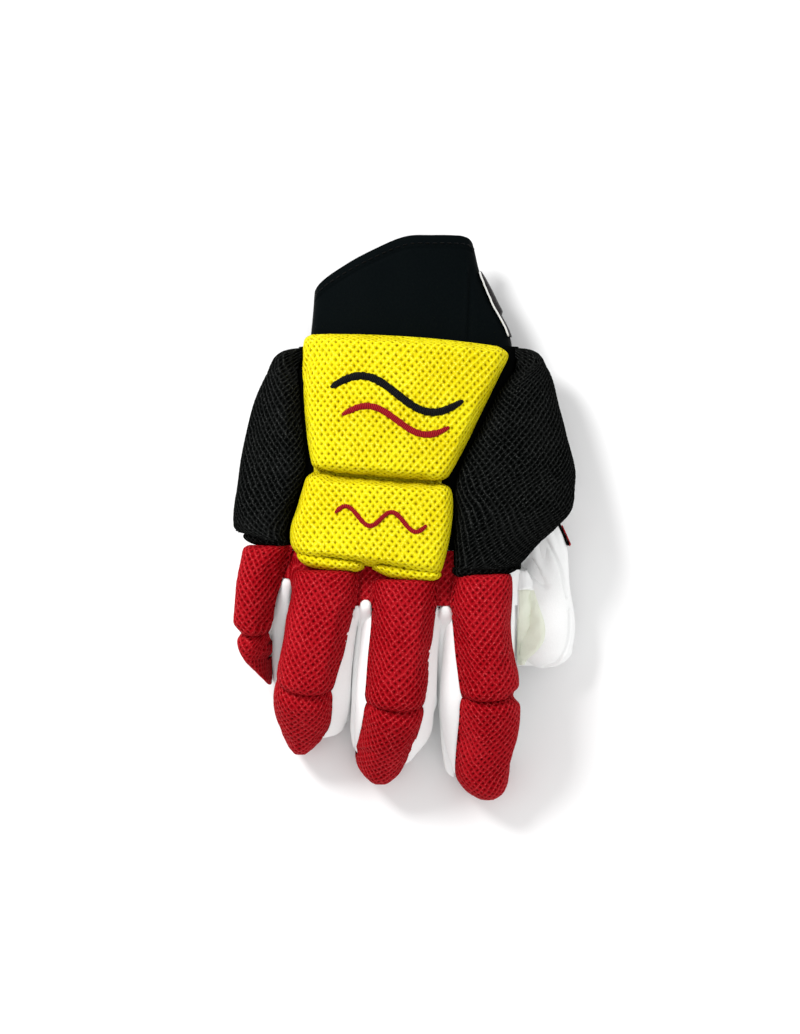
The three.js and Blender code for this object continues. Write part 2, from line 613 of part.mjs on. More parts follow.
function geometryOf(solid) {
  const mesh = solid.getMesh();
  return new THREE.BufferGeometry()
    .setAttribute("position", new THREE.BufferAttribute(mesh.vertProperties.slice(), 3))
    .setIndex(new THREE.BufferAttribute(mesh.triVerts.slice(), 1));
}

const cut = (geometry, tool) => geometryOf(solidOf(geometry).subtract(solidOf(tool)));

function handSolid(offset) {
  const around = 60;
  const stations = Array.from({ length: 25 }, (_, i) => lerp(HAND[0].y, FRONT_Y - 2, i / 24));
  return plug(stations.map((y) =>
    Array.from({ length: around }, (_, c) => handPoint((2 * Math.PI * c) / around, y, offset)),
  ));
}

function thumbHollow() {
  const at = byRowNumber(DIGITS.thumb.rows, DIGIT_KEYS);
  const steps = digitSteps(DIGITS.thumb, 0, 2, 0);
  return plug(steps.map((step) => stallRing(DIGITS.thumb, at, step, LEATHER, 20)));
}

// Assembly.
const material = (color, roughness) => new THREE.MeshStandardMaterial({ color, roughness, metalness: 0 });
const WHITE_LEATHER = material(0xf1f2f0, 0.55);
const CREAM_LEATHER = material(0xdde0cc, 0.6);
const YELLOW_MESH = material(0xf2dc10, 0.85);
const RED_MESH = material(0xa81a1e, 0.85);
const BLACK_MESH = material(0x1a1b1a, 0.9);
const BLACK_FABRIC = material(0x101214, 0.7);
const STRAP_GREY = material(0x3a3b3d, 0.8);

const glove = new THREE.Group();

function add(name, geometry, finish, parent = glove) {
  geometry.computeVertexNormals();
  const mesh = new THREE.Mesh(geometry, finish);
  mesh.name = name;
  parent.add(mesh);
}

const thumbWay = thumbHollow();
const seam = 0.3; // degrees left open between the palm and the back at each side
const palm = { from: 180 + seam, to: 360 - seam, back: WRIST_Y, wall: LEATHER, columns: 26, rows: 16 };
const back = { from: 180 - seam, to: seam, wall: FABRIC, columns: 24 };
const KNUCKLE_Y = -13.5; // where the black base fabric gives way to the red

add("palm", cut(handHalf(palm), thumbWay), WHITE_LEATHER);
const backPanel = handHalf({ ...back, back: WRIST_Y, front: KNUCKLE_Y, rows: 12 });
add("back_panel", cut(backPanel, thumbWay), BLACK_FABRIC);
add("knuckle_panel", handHalf({ ...back, back: KNUCKLE_Y - GAP, rows: 5 }), RED_MESH);
add("cuff", cuff(), BLACK_FABRIC);
add("wrist_strap", wristStrap(), STRAP_GREY);
for (const [name, rows] of Object.entries(BACK_PADS)) add(name, backPad(rows), YELLOW_MESH);
for (const [name, pad] of Object.entries(SIDE_PADS)) add(name, sidePad(pad), BLACK_MESH);
for (const [name, shape] of Object.entries(TABS)) {
  add(name, tab(shape), name === "ring_tab" || name === "middle_tab" ? YELLOW_MESH : BLACK_MESH);
}

const creaseGap = 0.05; // rows left open between the upper roll and the tip roll
for (const [name, digit] of Object.entries(DIGITS)) {
  if (name === "thumb") continue;
  const finger = new THREE.Group();
  const last = digit.rows.length - 1;
  add(`${name}_stall`, stallGeometry(digit), WHITE_LEATHER, finger);
  const upper = { from: 0, to: digit.crease - creaseGap, foam: ROLL_FOAM };
  add(`${name}_upper_roll`, rollGeometry(digit, upper), RED_MESH, finger);
  const tip = { from: digit.crease + creaseGap, to: last, foam: TIP_FOAM, turns: TIP_TURNS };
  add(`${name}_tip_roll`, rollGeometry(digit, tip), RED_MESH, finger);
  glove.add(finger);
}

add("thumb_stall", cut(stallGeometry(DIGITS.thumb), handSolid(2 * GAP)), WHITE_LEATHER);
const patch = { from: 200, to: 120, rowFrom: 3.0, rowTo: 4.9, thick: 1.2, rows: 6, columns: 6 };
add("thumb_patch", thumbSkin(patch), CREAM_LEATHER);
const outerPad = { from: -8, to: -95, rowFrom: 1.3, rowTo: 4.4, thick: 4.3, rows: 7, columns: 8 };
add("thumb_pad", thumbSkin(outerPad), BLACK_MESH);

// The origin is under the middle of the glove's box.
const box = new THREE.Box3().setFromObject(glove);
const middle = box.getCenter(new THREE.Vector3());
glove.position.set(-middle.x, -middle.y, -box.min.z);

export default glove;
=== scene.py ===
"""Looks of a right-hand roller hockey glove that lies palm down, seen from straight above.

Shapes are worked out in millimetres with the CAD part's own tables, and turned into metres when a mesh
is made. +X is the thumb side, -Y is where the fingers point, +Z is up.
"""
import math
from types import SimpleNamespace

import bpy
import numpy as np
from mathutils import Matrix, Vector
from mathutils.bvhtree import BVHTree
from mathutils.geometry import delaunay_2d_cdt


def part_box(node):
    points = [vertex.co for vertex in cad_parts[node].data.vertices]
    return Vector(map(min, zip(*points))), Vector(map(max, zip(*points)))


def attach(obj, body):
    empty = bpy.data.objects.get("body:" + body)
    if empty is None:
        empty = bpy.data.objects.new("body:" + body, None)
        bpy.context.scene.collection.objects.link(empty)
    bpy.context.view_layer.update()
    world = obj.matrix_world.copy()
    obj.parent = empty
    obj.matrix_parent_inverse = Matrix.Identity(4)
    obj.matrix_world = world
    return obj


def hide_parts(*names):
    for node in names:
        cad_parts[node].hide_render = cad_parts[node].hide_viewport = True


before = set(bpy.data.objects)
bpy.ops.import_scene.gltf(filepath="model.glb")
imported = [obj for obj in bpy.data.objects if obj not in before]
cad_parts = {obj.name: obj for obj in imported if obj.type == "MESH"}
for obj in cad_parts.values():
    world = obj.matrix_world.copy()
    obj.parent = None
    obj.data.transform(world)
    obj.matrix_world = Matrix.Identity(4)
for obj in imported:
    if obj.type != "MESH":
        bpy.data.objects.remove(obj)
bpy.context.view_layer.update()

# Sizes, in millimetres.
LEATHER = 1.6
FABRIC = 2.0
NEOPRENE = 3.0
GAP = 0.45
PAD_GAP = 1.5
BACK_FOAM = 12.5
SIDE_FOAM = 10.0
ROLL_FOAM = 9.5
TIP_FOAM = 8.5
HAND_POWER = 2.5
DIGIT_POWER = 2.4
WRIST_Y = 69
FRONT_Y = -38
LITTLE_FRONT_Y = -26
KNUCKLE_Y = -13.5
STRAP_THICK = 1.5
STRAP_GAP = 0.8
CUFF_BACK_Y = 69.5
CUFF_PALM_Y = 100.5
STRAP_WIDE = 29
PATCH_MIDDLE = np.array([-8, -8])  # the palm's cream patch
PATCH_HALF = np.array([42, 24])
CLOTH_LOW = 0.45  # the rolls' cloth lies no lower
THREAD = 0.8  # from one satin thread to the next
CLOTH_STEP = 0.45  # spacing of the vertices that carry the knit's relief
WEAVES = {"yellow_mesh": (3.35, 2.1), "red_mesh": (3.15, 1.85), "black_mesh": (3.15, 1.85)}  # pitch and row
RIPPLE_WAVES = 9
PROBES = 220  # places at which the width and length of a surface are measured

# The simulation of a cover.
COVER_STEP = 3.0
COVER_MOVE = 0.8  # the most that it moves
CLOTH_FRAMES = 20
CLOTH_SETTINGS = {
    "quality": 5, "mass": 0.2, "tension_stiffness": 12, "compression_stiffness": 12, "shear_stiffness": 6,
    "bending_stiffness": 0.35, "vertex_group_mass": "sewn", "use_pressure": True, "uniform_pressure_force": 4,
    "shrink_min": -0.012,
}

# The CAD part is centred on its box: a known corner of the cuff and the palm gives the move back.
SHIFT = np.array([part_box("cuff")[0].x * 1000 + 43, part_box("palm")[0].y * 1000 + 38, 0.0])


# ---- Tables ----
class Table:
    """Rows of numbers with named columns, read smoothly at any place between them."""

    def __init__(self, columns, rows, by=None):
        self.columns = columns.split()
        self.data = np.array(rows, float)
        self.at = np.arange(len(rows), dtype=float)
        if by:
            order = np.argsort(self.data[:, self.columns.index(by)])
            self.data = self.data[order]
            self.at = self.data[:, self.columns.index(by)]

    def __call__(self, where):
        at, data, last = self.at, self.data, len(self.at) - 2
        where = np.clip(np.asarray(where, float), at[0], at[-1])
        i = np.clip(np.searchsorted(at, where, side="right") - 1, 0, last)
        t0, t1 = at[i], at[i + 1]
        half = (t1 - t0) / 2
        inner_start, inner_end = i > 0, i < last
        before = np.where(inner_start, i - 1, i + 1)
        after = np.where(inner_end, np.minimum(i + 2, last + 1), i)
        wp = half / np.where(inner_start, t0 - at[before], t0 - t1)
        wn = half / np.where(inner_end, at[after] - t1, t0 - t1)
        p = (where - t0) / (t1 - t0)
        pp, ppp = p * p, p * p * p
        weights = (
            (before, -wp * ppp + 2 * wp * pp - wp * p),
            (i, (1 + wp) * ppp + (-1.5 - 2 * wp) * pp + (-0.5 + wp) * p + 1),
            (i + 1, (-1 - wn) * ppp + (1.5 + wn) * pp + 0.5 * p),
            (after, wn * ppp - wn * pp),
        )
        found = sum(data[k] * w[..., None] for k, w in weights)
        return SimpleNamespace(**{c: found[..., n] for n, c in enumerate(self.columns)})


HAND = Table("y left right low high arch tilt", [
    (72, -46.5, 49, -1, 36, 0, 0), (64, -50.2, 52.4, -1.5, 38, 0.5, 0), (55, -53.8, 55, -1.5, 40, 1, 0),
    (38, -58.5, 59.4, -1.5, 42, 2, 0), (20, -62.2, 63.6, -0.8, 44, 3, 0.5), (4, -64.6, 65, 2, 46, 4, 1),
    (-5, -65.5, 60, 5, 47, 5, 2), (-12, -66.5, 54.5, 8, 47.5, 6, 3), (-20, -68, 51, 12, 48, 7, 4),
    (-40, -70, 50, 24, 48, 8, 4),
], by="y")

CUFF = Table("y left right low high", [
    (69.5, -43, 48.2, 2.4, 36), (82, -42, 45.4, 2.4, 35.5), (96, -41.3, 38.2, 2.4, 34.5),
    (110, -41, 32.6, 2.4, 33.5), (119, -41, 30.9, 2.4, 32.6), (126, -41, 29.8, 2.4, 32),
], by="y")

CUFF_MOUTH = Table("x y", [
    (-42, 100), (-38, 104.5), (-28, 111.5), (-14, 119), (0, 124.6),
    (12, 125.2), (22, 125.2), (25.6, 124.9), (28.8, 123.4), (31, 120.4), (32, 116.4),
], by="x")

DIGIT_COLUMNS = "y z left right roll_left roll_right half"
DIGITS = {
    "little": SimpleNamespace(start=1, crease=3, lean=-26, tip=6.5, at=Table(DIGIT_COLUMNS, [
        (-11.4, 29, -66.5, -49.5, -69.8, -48, 9), (-26.5, 28, -69.5, -53.6, -71.7, -53.4, 9),
        (-36, 26, -70.6, -55.6, -73, -56.7, 8.8), (-46, 22, -71.4, -57.6, -73.4, -58, 8.5),
        (-54, 16.4, -68.2, -58.8, -69.8, -57.4, 8), (-61, 11, -64.4, -59.8, -63.6, -55.8, 6.5),
    ])),
    "ring": SimpleNamespace(start=1, crease=3, lean=-5, tip=7, at=Table(DIGIT_COLUMNS, [
        (-22.3, 37, -49.5, -20, -49, -19.4, 10.5), (-38.5, 36.5, -51, -19.4, -52.4, -20.2, 10.5),
        (-55, 35, -53.5, -21.9, -54.8, -24, 10), (-70, 30.5, -55.8, -23.4, -57.3, -28.4, 10),
        (-81, 20.3, -56.5, -24.3, -58, -31, 9.5), (-90, 11.5, -54, -27, -55, -34, 8),
    ])),
    "middle": SimpleNamespace(start=1, crease=3, lean=0, tip=7, at=Table(DIGIT_COLUMNS, [
        (-26.2, 38.5, -14.5, 14.6, -14.8, 14.9, 10.5), (-38.5, 38, -18, 16.6, -15.4, 14.6, 10.5),
        (-58, 36.5, -21.2, 14.9, -16.5, 13.4, 10), (-78, 32, -22.7, 13.6, -18.2, 10.4, 10),
        (-91, 21.8, -23.6, 11.5, -21, 6.8, 9.5), (-102, 11.5, -23.4, 4.5, -22, 3.5, 8),
    ])),
    "index": SimpleNamespace(start=1, crease=3, lean=5, tip=7.5, at=Table(DIGIT_COLUMNS, [
        (-24, 37.5, 19.2, 45.8, 18.2, 45.8, 10.5), (-38.5, 37, 17.4, 46.2, 17.2, 46.2, 10.5),
        (-56, 35, 15.6, 46.4, 20.6, 46.9, 10), (-74.5, 30, 14.3, 46.8, 22.3, 50, 10),
        (-93, 19.8, 15.3, 46.8, 21.6, 49.2, 9.5), (-109, 11, 20.5, 44.5, 21.5, 46.5, 8),
    ])),
    "thumb": SimpleNamespace(start=0, crease=3, lean=12, tip=8, at=Table(DIGIT_COLUMNS, [
        (20, 18.5, 36, 58, 40, 60, 11.5), (2, 18, 45, 66.5, 47, 68, 11.5),
        (-12, 17.5, 48.2, 71, 48, 71, 11.5), (-30, 16.6, 49, 72.6, 50, 74, 11.2),
        (-46, 15.3, 49.4, 74.6, 51, 74, 10.5), (-58, 13.8, 50.6, 73.6, 53, 72, 9.2),
    ])),
}

BACK_PAD_COLUMNS = "left_x left_y right_x right_y bow"
BACK_PADS = {
    "back_pad_upper": Table(BACK_PAD_COLUMNS, [
        (-38.6, 21.4, 13.4, 16.4, -0.6), (-40.9, 23.4, 17.6, 17.9, -0.6), (-41.9, 26.8, 20.2, 21.2, -0.4),
        (-43.6, 37, 26, 31.7, 0), (-44.9, 52.4, 33.4, 47.1, 0.5), (-45.3, 67.8, 41.4, 63.4, 1),
        (-45.3, 75.7, 44.9, 70.8, 1.5), (-44.4, 79.6, 44, 73.9, 1.5), (-41.4, 81.4, 40, 76.2, 1.5),
    ]),
    "back_pad_lower": Table(BACK_PAD_COLUMNS, [
        (-45.3, -17.2, 12.3, -25.1, 0.5), (-48.4, -14.5, 15, -23.3, 0.5), (-50.6, -10.6, 16.7, -18.9, 0.5),
        (-50.6, -3.5, 18.9, -9.2, 0), (-48, 4.8, 20.4, 1.8, 0), (-45.3, 13.8, 20.4, 9.9, -0.4),
        (-43.7, 18.2, 19.2, 13.6, -0.6), (-40.7, 20.6, 16, 15.5, -0.6),
    ]),
}

SIDE_PAD_COLUMNS = "inner_x inner_y outer outer_y"
SIDE_PADS = {
    "side_pad_little": (-1, Table(SIDE_PAD_COLUMNS, [
        (-52, -11.4, 30, -7), (-51.9, -9.6, 8, -4.5), (-51.7, -5, -4, -1), (-49.5, 4, -10, 6),
        (-46.2, 13, -12, 14), (-43.4, 24, -12, 24), (-44.8, 40, -10, 40), (-45.9, 56, -6, 56), (-46.6, 67, -2, 67),
        (-46.2, 75.6, 2, 75.2),
    ])),
    "side_pad_thumb": (1, Table(SIDE_PAD_COLUMNS, [
        (22.4, -22.6, 42, -22.2), (20.9, -20.8, 28, -19.8), (20.6, -17, 22, -14.2), (20.9, -8, 17, -4.6),
        (21.4, 3, 9.5, 4), (21.6, 12.5, 4, 14), (23.6, 22, -8, 24), (32, 39, -10, 40), (39.8, 55, -6, 56),
        (47.6, 67, -2, 67), (48.4, 75.6, 2, 75.2),
    ])),
}

# Small rolls: cloth, foam, and rows of X with the Y of the rear and the front edge there.
TABS = {
    "ring_tab": ("yellow_mesh", 9, Table("x rear front", [
        (-47, -15, -16.6), (-44.5, -15.4, -19.2), (-41, -15.9, -21), (-36.5, -16.5, -22.3),
        (-30.5, -17.3, -23.2), (-24.5, -18.1, -23.2), (-20.5, -18.8, -22.8), (-18.2, -19.2, -21.6),
    ], by="x")),
    "middle_tab": ("yellow_mesh", 9, Table("x rear front", [
        (-14.9, -19.4, -21.8), (-11.9, -19.9, -23.4), (-8.1, -20.4, -25.2), (-3.3, -21, -26.6),
        (3.8, -22, -27.6), (11, -23, -27.2), (14, -23.4, -26), (15.2, -23.6, -24.9),
    ], by="x")),
    "little_tab": ("black_mesh", 7.5, Table("x rear front", [
        (-66.6, -5.6, -9.6), (-64.5, -5.9, -11), (-60, -7, -12.2), (-55, -8.4, -12.9), (-51.4, -9.4, -12.6),
    ], by="x")),
    "index_tab": ("black_mesh", 8.5, Table("x rear front", [
        (20, -21, -23.6), (22.5, -21.2, -25.4), (32, -21, -25.6), (42, -20.6, -24.9), (46.2, -20.4, -23),
    ], by="x")),
}

# Seen from above: the Y of each finger's crease and tip, and the left and right edge of its foam.
EDGES = {
    "little": (-50, -73.3, Table("y left right", [
        (-10, -71.4, -49), (-17, -72.4, -50.5), (-23.3, -73.6, -53.2), (-28.4, -74.4, -54.6), (-33.8, -75, -56.3),
        (-39.9, -75.6, -57.7), (-45.2, -75.8, -58.3), (-49.4, -73.6, -58.7), (-53.4, -74.6, -58.9),
        (-58.7, -73.6, -59), (-62.8, -71.2, -59.2), (-67.5, -66.8, -59.3), (-70.8, -63.5, -59.4),
        (-73.3, -61.2, -59.6),
    ], by="y")),
    "ring": (-75, -104.5, Table("y left right", [
        (-20, -48.6, -20), (-28.1, -50, -20.5), (-35.9, -51.2, -21.5), (-42.5, -52.6, -23.2), (-52, -54, -25.5),
        (-60.1, -55.6, -27.3), (-65.5, -56.6, -29.1), (-72.2, -57.2, -30.9), (-79.6, -58.3, -32.2),
        (-84.3, -58.1, -32.4), (-91, -56.4, -33.3), (-97.1, -54, -36.5), (-102.2, -51.6, -41.5),
        (-104.7, -49.2, -44.9),
    ], by="y")),
    "middle": (-83, -117.7, Table("y left right", [
        (-24, -14.8, 14.4), (-30.7, -15.1, 14.2), (-39.7, -15.2, 13.3), (-46.2, -15.4, 12.4), (-52.7, -16, 11.7),
        (-59.1, -16.7, 10.8), (-72, -17.7, 9.8), (-80, -18.4, 8.6), (-88.2, -19.3, 7.3), (-96.6, -20.9, 4.9),
        (-103, -22.5, 2.3), (-108.8, -21.8, -0.6), (-114, -18.8, -3.8), (-116.6, -16.2, -6.8), (-117.9, -14, -9),
    ], by="y")),
    "index": (-78, -124.7, Table("y left right", [
        (-22, 21.5, 45.9), (-29, 20.3, 46.8), (-37.5, 19.2, 46.6), (-46.2, 20.2, 46.1), (-54.6, 21, 46.8),
        (-60.4, 21.6, 47.9), (-69.4, 22.8, 49.8), (-73.6, 23.3, 49.6), (-77.6, 23.6, 47.2), (-81.6, 23.5, 49.8),
        (-86.2, 23.4, 50.2), (-94.6, 22.7, 49.5), (-103, 22, 47.9), (-110.8, 21.7, 46.2),
        (-114.5, 22.2, 45.7), (-118.5, 24.9, 44.9), (-122.4, 28.8, 42.8), (-124.7, 33.4, 39.2),
    ], by="y")),
}


# ---- Surfaces ----
def signed_power(value, power):
    return np.sign(value) * np.abs(value) ** power


def lerp(a, b, share):
    return a + (b - a) * share


def smoothstep(value, low, high):
    share = np.clip((value - low) / (high - low), 0, 1)
    return share * share * (3 - 2 * share)


def points(x, y, z):
    return np.stack(np.broadcast_arrays(x, y, z), axis=-1).astype(float)


def unit(v):
    return v / np.maximum(np.linalg.norm(v, axis=-1, keepdims=True), 1e-9)


def steps(p, axis=0):
    """The distances from each point of a line or grid to the next one."""
    return np.linalg.norm(np.diff(p, axis=axis), axis=-1)


def travelled(line):
    return np.pad(np.cumsum(steps(line)), (1, 0))


def section(angle, power):
    """A point on a superellipse of half sizes 1."""
    return signed_power(np.cos(angle), 2 / power), signed_power(np.sin(angle), 2 / power)


def hand_point(angle, y, offset=0.0):
    """The hand's surface at an angle round its section, and offset outwards."""
    s = HAND(y)
    half_width, half_height = (s.right - s.left) / 2, (s.high - s.low) / 2
    across, up = section(angle, HAND_POWER)
    nx = signed_power(across, HAND_POWER - 1) / half_width
    nz = signed_power(up, HAND_POWER - 1) / half_height
    size = np.hypot(nx, nz)
    middle = (s.high + s.low) / 2 - s.arch * across * across + s.tilt * across
    x = (s.left + s.right) / 2 + half_width * across + offset * nx / size
    z = middle + half_height * up + offset * nz / size
    return points(x, y, np.maximum(z, np.maximum(0, -offset)))


def angle_over(x, y, table=HAND, most=1):
    """The angle at which a section of the hand or cuff lies under a place seen from above."""
    s = table(y)
    across = np.clip((2 * x - s.left - s.right) / (s.right - s.left), -most, most)
    return np.arccos(signed_power(across, HAND_POWER / 2))


def hand_top(x, y):
    return hand_point(angle_over(x, y), y)[..., 2]


def front_of(x):
    return lerp(LITTLE_FRONT_Y, FRONT_Y, smoothstep(x, -52.6, -48.6))


def cuff_point(angle, y, offset=0.0):
    s = CUFF(y)
    across, up = section(angle, HAND_POWER)
    x = (s.left + s.right) / 2 + ((s.right - s.left) / 2 + offset) * across
    z = (s.low + s.high) / 2 + ((s.high - s.low) / 2 + offset) * up
    return points(x, y, z)


def cuff_end(angle):
    back_y = 115.0
    for _ in range(4):
        back_y = CUFF_MOUTH(cuff_point(angle, back_y)[..., 0]).y
    return lerp(CUFF_PALM_Y, back_y, smoothstep(np.sin(angle), -0.7, 0.02))


def deck(x, y):
    """The height of the shell under the back pads, carried on level past the sides of the hand."""
    s = HAND(y)
    middle, reach = (s.left + s.right) / 2, (s.right - s.left) / 2 * 0.9
    low = hand_top(np.clip(x, middle - reach, middle + reach), y)
    cuff_top = cuff_point(angle_over(x, y, CUFF, 0.9), y)[..., 2]
    return np.where(y > 67.5, np.maximum(low, cuff_top), low)


def rounded(distance, radius):
    """A quarter-round edge: 0 at the edge and 1 from radius inwards."""
    share = np.clip(distance / radius, 0, 1)
    return np.sqrt(np.maximum(0, 1 - (1 - share) ** 2))


def inward(share):
    """How far a share from 0 to 1 is from the nearer end."""
    return np.minimum(share, 1 - share)


def ripple(p, size, seed):
    """Smooth noise from -1 to 1 over points in millimetres, with lumps of about size."""
    dice = np.random.default_rng(seed)
    total = 0
    for _ in range(RIPPLE_WAVES):
        way = unit(dice.normal(size=3))
        rate = 2 * math.pi / (size * dice.uniform(0.7, 1.6))
        total = total + np.sin(p @ (way * rate) + dice.uniform(0, 6.28))
    return total / math.sqrt(RIPPLE_WAVES) * 0.8


# ---- Meshes ----
def grid_faces(rows, columns, start=0, flip=False, wrap=False):
    r, c = np.meshgrid(np.arange(rows - 1), np.arange(columns if wrap else columns - 1), indexing="ij")
    n = (c + 1) % columns
    quads = np.stack([r * columns + c, r * columns + n, (r + 1) * columns + n, (r + 1) * columns + c], -1)
    quads = quads.reshape(-1, 4) + start
    return quads[:, ::-1] if flip else quads


def make_mesh(name, co, faces, material, pattern=None, solid=True):
    """A mesh object from points in millimetres and a list of arrays of faces that all turn one way."""
    mesh = bpy.data.meshes.new(name)
    co = co + SHIFT
    volume = sum(np.sum(co[f[:, 0]] * np.cross(co[f[:, k]], co[f[:, k + 1]]))
                 for f in faces for k in range(1, f.shape[1] - 1))
    if solid and volume < 0:
        faces = [f[:, ::-1] for f in faces]
    loops = np.concatenate([f.reshape(-1) for f in faces]).astype(np.int32)
    counts = np.concatenate([np.full(len(f), f.shape[1]) for f in faces]).astype(np.int32)
    mesh.vertices.add(len(co))
    mesh.vertices.foreach_set("co", (co * 0.001).astype(np.float32).ravel())
    mesh.loops.add(len(loops))
    mesh.loops.foreach_set("vertex_index", loops)
    mesh.polygons.add(len(counts))
    mesh.polygons.foreach_set("loop_start", np.concatenate([[0], np.cumsum(counts)[:-1]]).astype(np.int32))
    mesh.update(calc_edges=True)
    mesh.validate()
    mesh.polygons.foreach_set("use_smooth", np.ones(len(mesh.polygons), bool))
    if pattern is not None:
        layer = mesh.attributes.new("pattern", "FLOAT_VECTOR", "POINT")
        layer.data.foreach_set("vector", pattern.astype(np.float32).ravel())
    obj = bpy.data.objects.new(name, mesh)
    bpy.context.scene.collection.objects.link(obj)
    mesh.materials.append(material)
    return obj


def normals_of(p, wrap=False):
    """Outward normals of a grid of points, for a grid whose rows by columns turn the right way."""
    du = np.roll(p, -1, 1) - np.roll(p, 1, 1) if wrap else np.gradient(p, axis=1)
    return unit(np.cross(du, np.gradient(p, axis=0)))


def even_shares(place, step):
    """Shares across and along that space a surface's grid evenly, about step apart."""
    eased = (1 - np.cos(np.pi * np.arange(PROBES + 1) / PROBES)) / 2
    coarse = np.linspace(0.02, 0.98, 25)
    rows = place(*np.meshgrid(eased, coarse))
    columns = place(*np.meshgrid(coarse, eased))

    def spaced(pieces):
        total = np.concatenate([[0], np.cumsum(pieces)])
        count = max(4, int(round(total[-1] / step)))
        return np.interp(np.linspace(0, total[-1], count + 1), total, eased)

    return spaced(steps(rows, 1).mean(0)), spaced(steps(columns).mean(1))


def sheet_coordinates(p, lean=0.0):
    """How far each point is across and along its sheet from the middle, measured on the surface."""
    across = np.pad(np.cumsum(steps(p, 1), 1), ((0, 0), (1, 0)))
    along = np.pad(np.cumsum(steps(p), 0), ((1, 0), (0, 0)))
    row, column = p.shape[0] // 2, p.shape[1] // 2
    leaning = lean * (p[:, column, 0] - p[row, column, 0])
    return across + (leaning - across[:, column])[:, None], along - along[row]


def knit(u, v, pitch, row, turn):
    """Spacer mesh: about 1 on the strands that cross aslant, and 0 in the middle of each hole."""
    a, b = u / pitch + v / (2 * row), u / pitch - v / (2 * row)
    return (lerp(0.4, 1, turn) * np.sin(np.pi * a) ** 6 + lerp(1, 0.4, turn) * np.sin(np.pi * b) ** 6) ** (1 / 3)


def border(rows, columns):
    """The places of a grid's border points, in order."""
    index = np.arange(rows * columns).reshape(rows, columns)
    return np.concatenate([index[0, :-1], index[:-1, -1], index[-1, :0:-1], index[:0:-1, 0]])


def rim(loop, other):
    """Faces from a loop of points to another one."""
    return np.stack([np.roll(loop, -1), loop, other, np.roll(other, -1)], -1)


def fan(loop, middle):
    """Triangles from a loop of points to the one in its middle."""
    return np.stack([loop, np.roll(loop, -1), np.full(len(loop), middle)], -1)


def floor_faces(shares_across, shares_along, start):
    """Triangles for the underside of a pad, which share its border: (faces, new shares)."""
    across = len(shares_across)
    loop = border(len(shares_along), across)
    s = shares_across[loop % across]
    t = shares_along[loop // across]
    inner = np.linspace(0.06, 0.94, 12)
    places = [Vector(x) for x in [*zip(s, t), *((a, b) for a in inner for b in inner)]]
    edges = [(i, (i + 1) % len(loop)) for i in range(len(loop))]
    found, _, faces, origins, _, _ = delaunay_2d_cdt(places, edges, [], 1, 1e-9)
    new, index = [], []
    for place, origin in zip(found, origins):
        kept = [o for o in origin if o < len(loop)]
        if kept:
            index.append(int(loop[kept[0]]))
        else:
            index.append(start + len(new))
            new.append((place.x, place.y))
    triangles = np.array([[index[i] for i in reversed(f)] for f in faces if len(f) == 3])
    return triangles, np.array(new)


def eased_weights(fine, coarse):
    """A matrix that carries values from a coarse even row of places to a fine one, smoothly."""
    at = np.linspace(0, coarse - 1, fine)
    i = np.clip(np.floor(at).astype(int), 0, coarse - 2)
    f = at - i
    matrix = np.zeros((fine, coarse))
    for k, w in ((-1, -0.5 * f + f ** 2 - 0.5 * f ** 3), (0, 1 - 2.5 * f ** 2 + 1.5 * f ** 3),
                 (1, 0.5 * f + 2 * f ** 2 - 1.5 * f ** 3), (2, -0.5 * f ** 2 + 0.5 * f ** 3)):
        np.add.at(matrix, (np.arange(fine), np.clip(i + k, 0, coarse - 1)), w)
    return matrix


def settled(p, out):
    """How cloth that is sewn down at its border moves over its foam: p is a coarse grid in millimetres."""
    rows, columns = p.shape[:2]
    mesh = bpy.data.meshes.new("cover")
    mesh.from_pydata((p * 0.001).reshape(-1, 3).tolist(), [], grid_faces(rows, columns, flip=out < 0).tolist())
    obj = bpy.data.objects.new("cover", mesh)
    scene = bpy.context.scene
    scene.collection.objects.link(obj)
    pins = obj.vertex_groups.new(name="sewn")
    pins.add(border(rows, columns).tolist(), 1.0, "REPLACE")
    cloth = obj.modifiers.new("cloth", "CLOTH").settings
    for key, value in CLOTH_SETTINGS.items():
        setattr(cloth, key, value)
    cloth.effector_weights.gravity = 0
    for frame_number in range(1, CLOTH_FRAMES + 1):
        scene.frame_set(frame_number)
    evaluated = obj.evaluated_get(bpy.context.evaluated_depsgraph_get())
    moved = np.empty(len(mesh.vertices) * 3, np.float32)
    evaluated.data.vertices.foreach_get("co", moved)
    bpy.data.objects.remove(obj)
    bpy.data.meshes.remove(mesh)
    scene.frame_set(1)
    move = moved.reshape(rows, columns, 3) * 1000.0 - p
    size = np.linalg.norm(move, axis=-1, keepdims=True)
    return move * np.minimum(1, COVER_MOVE / np.maximum(size, 1e-6))


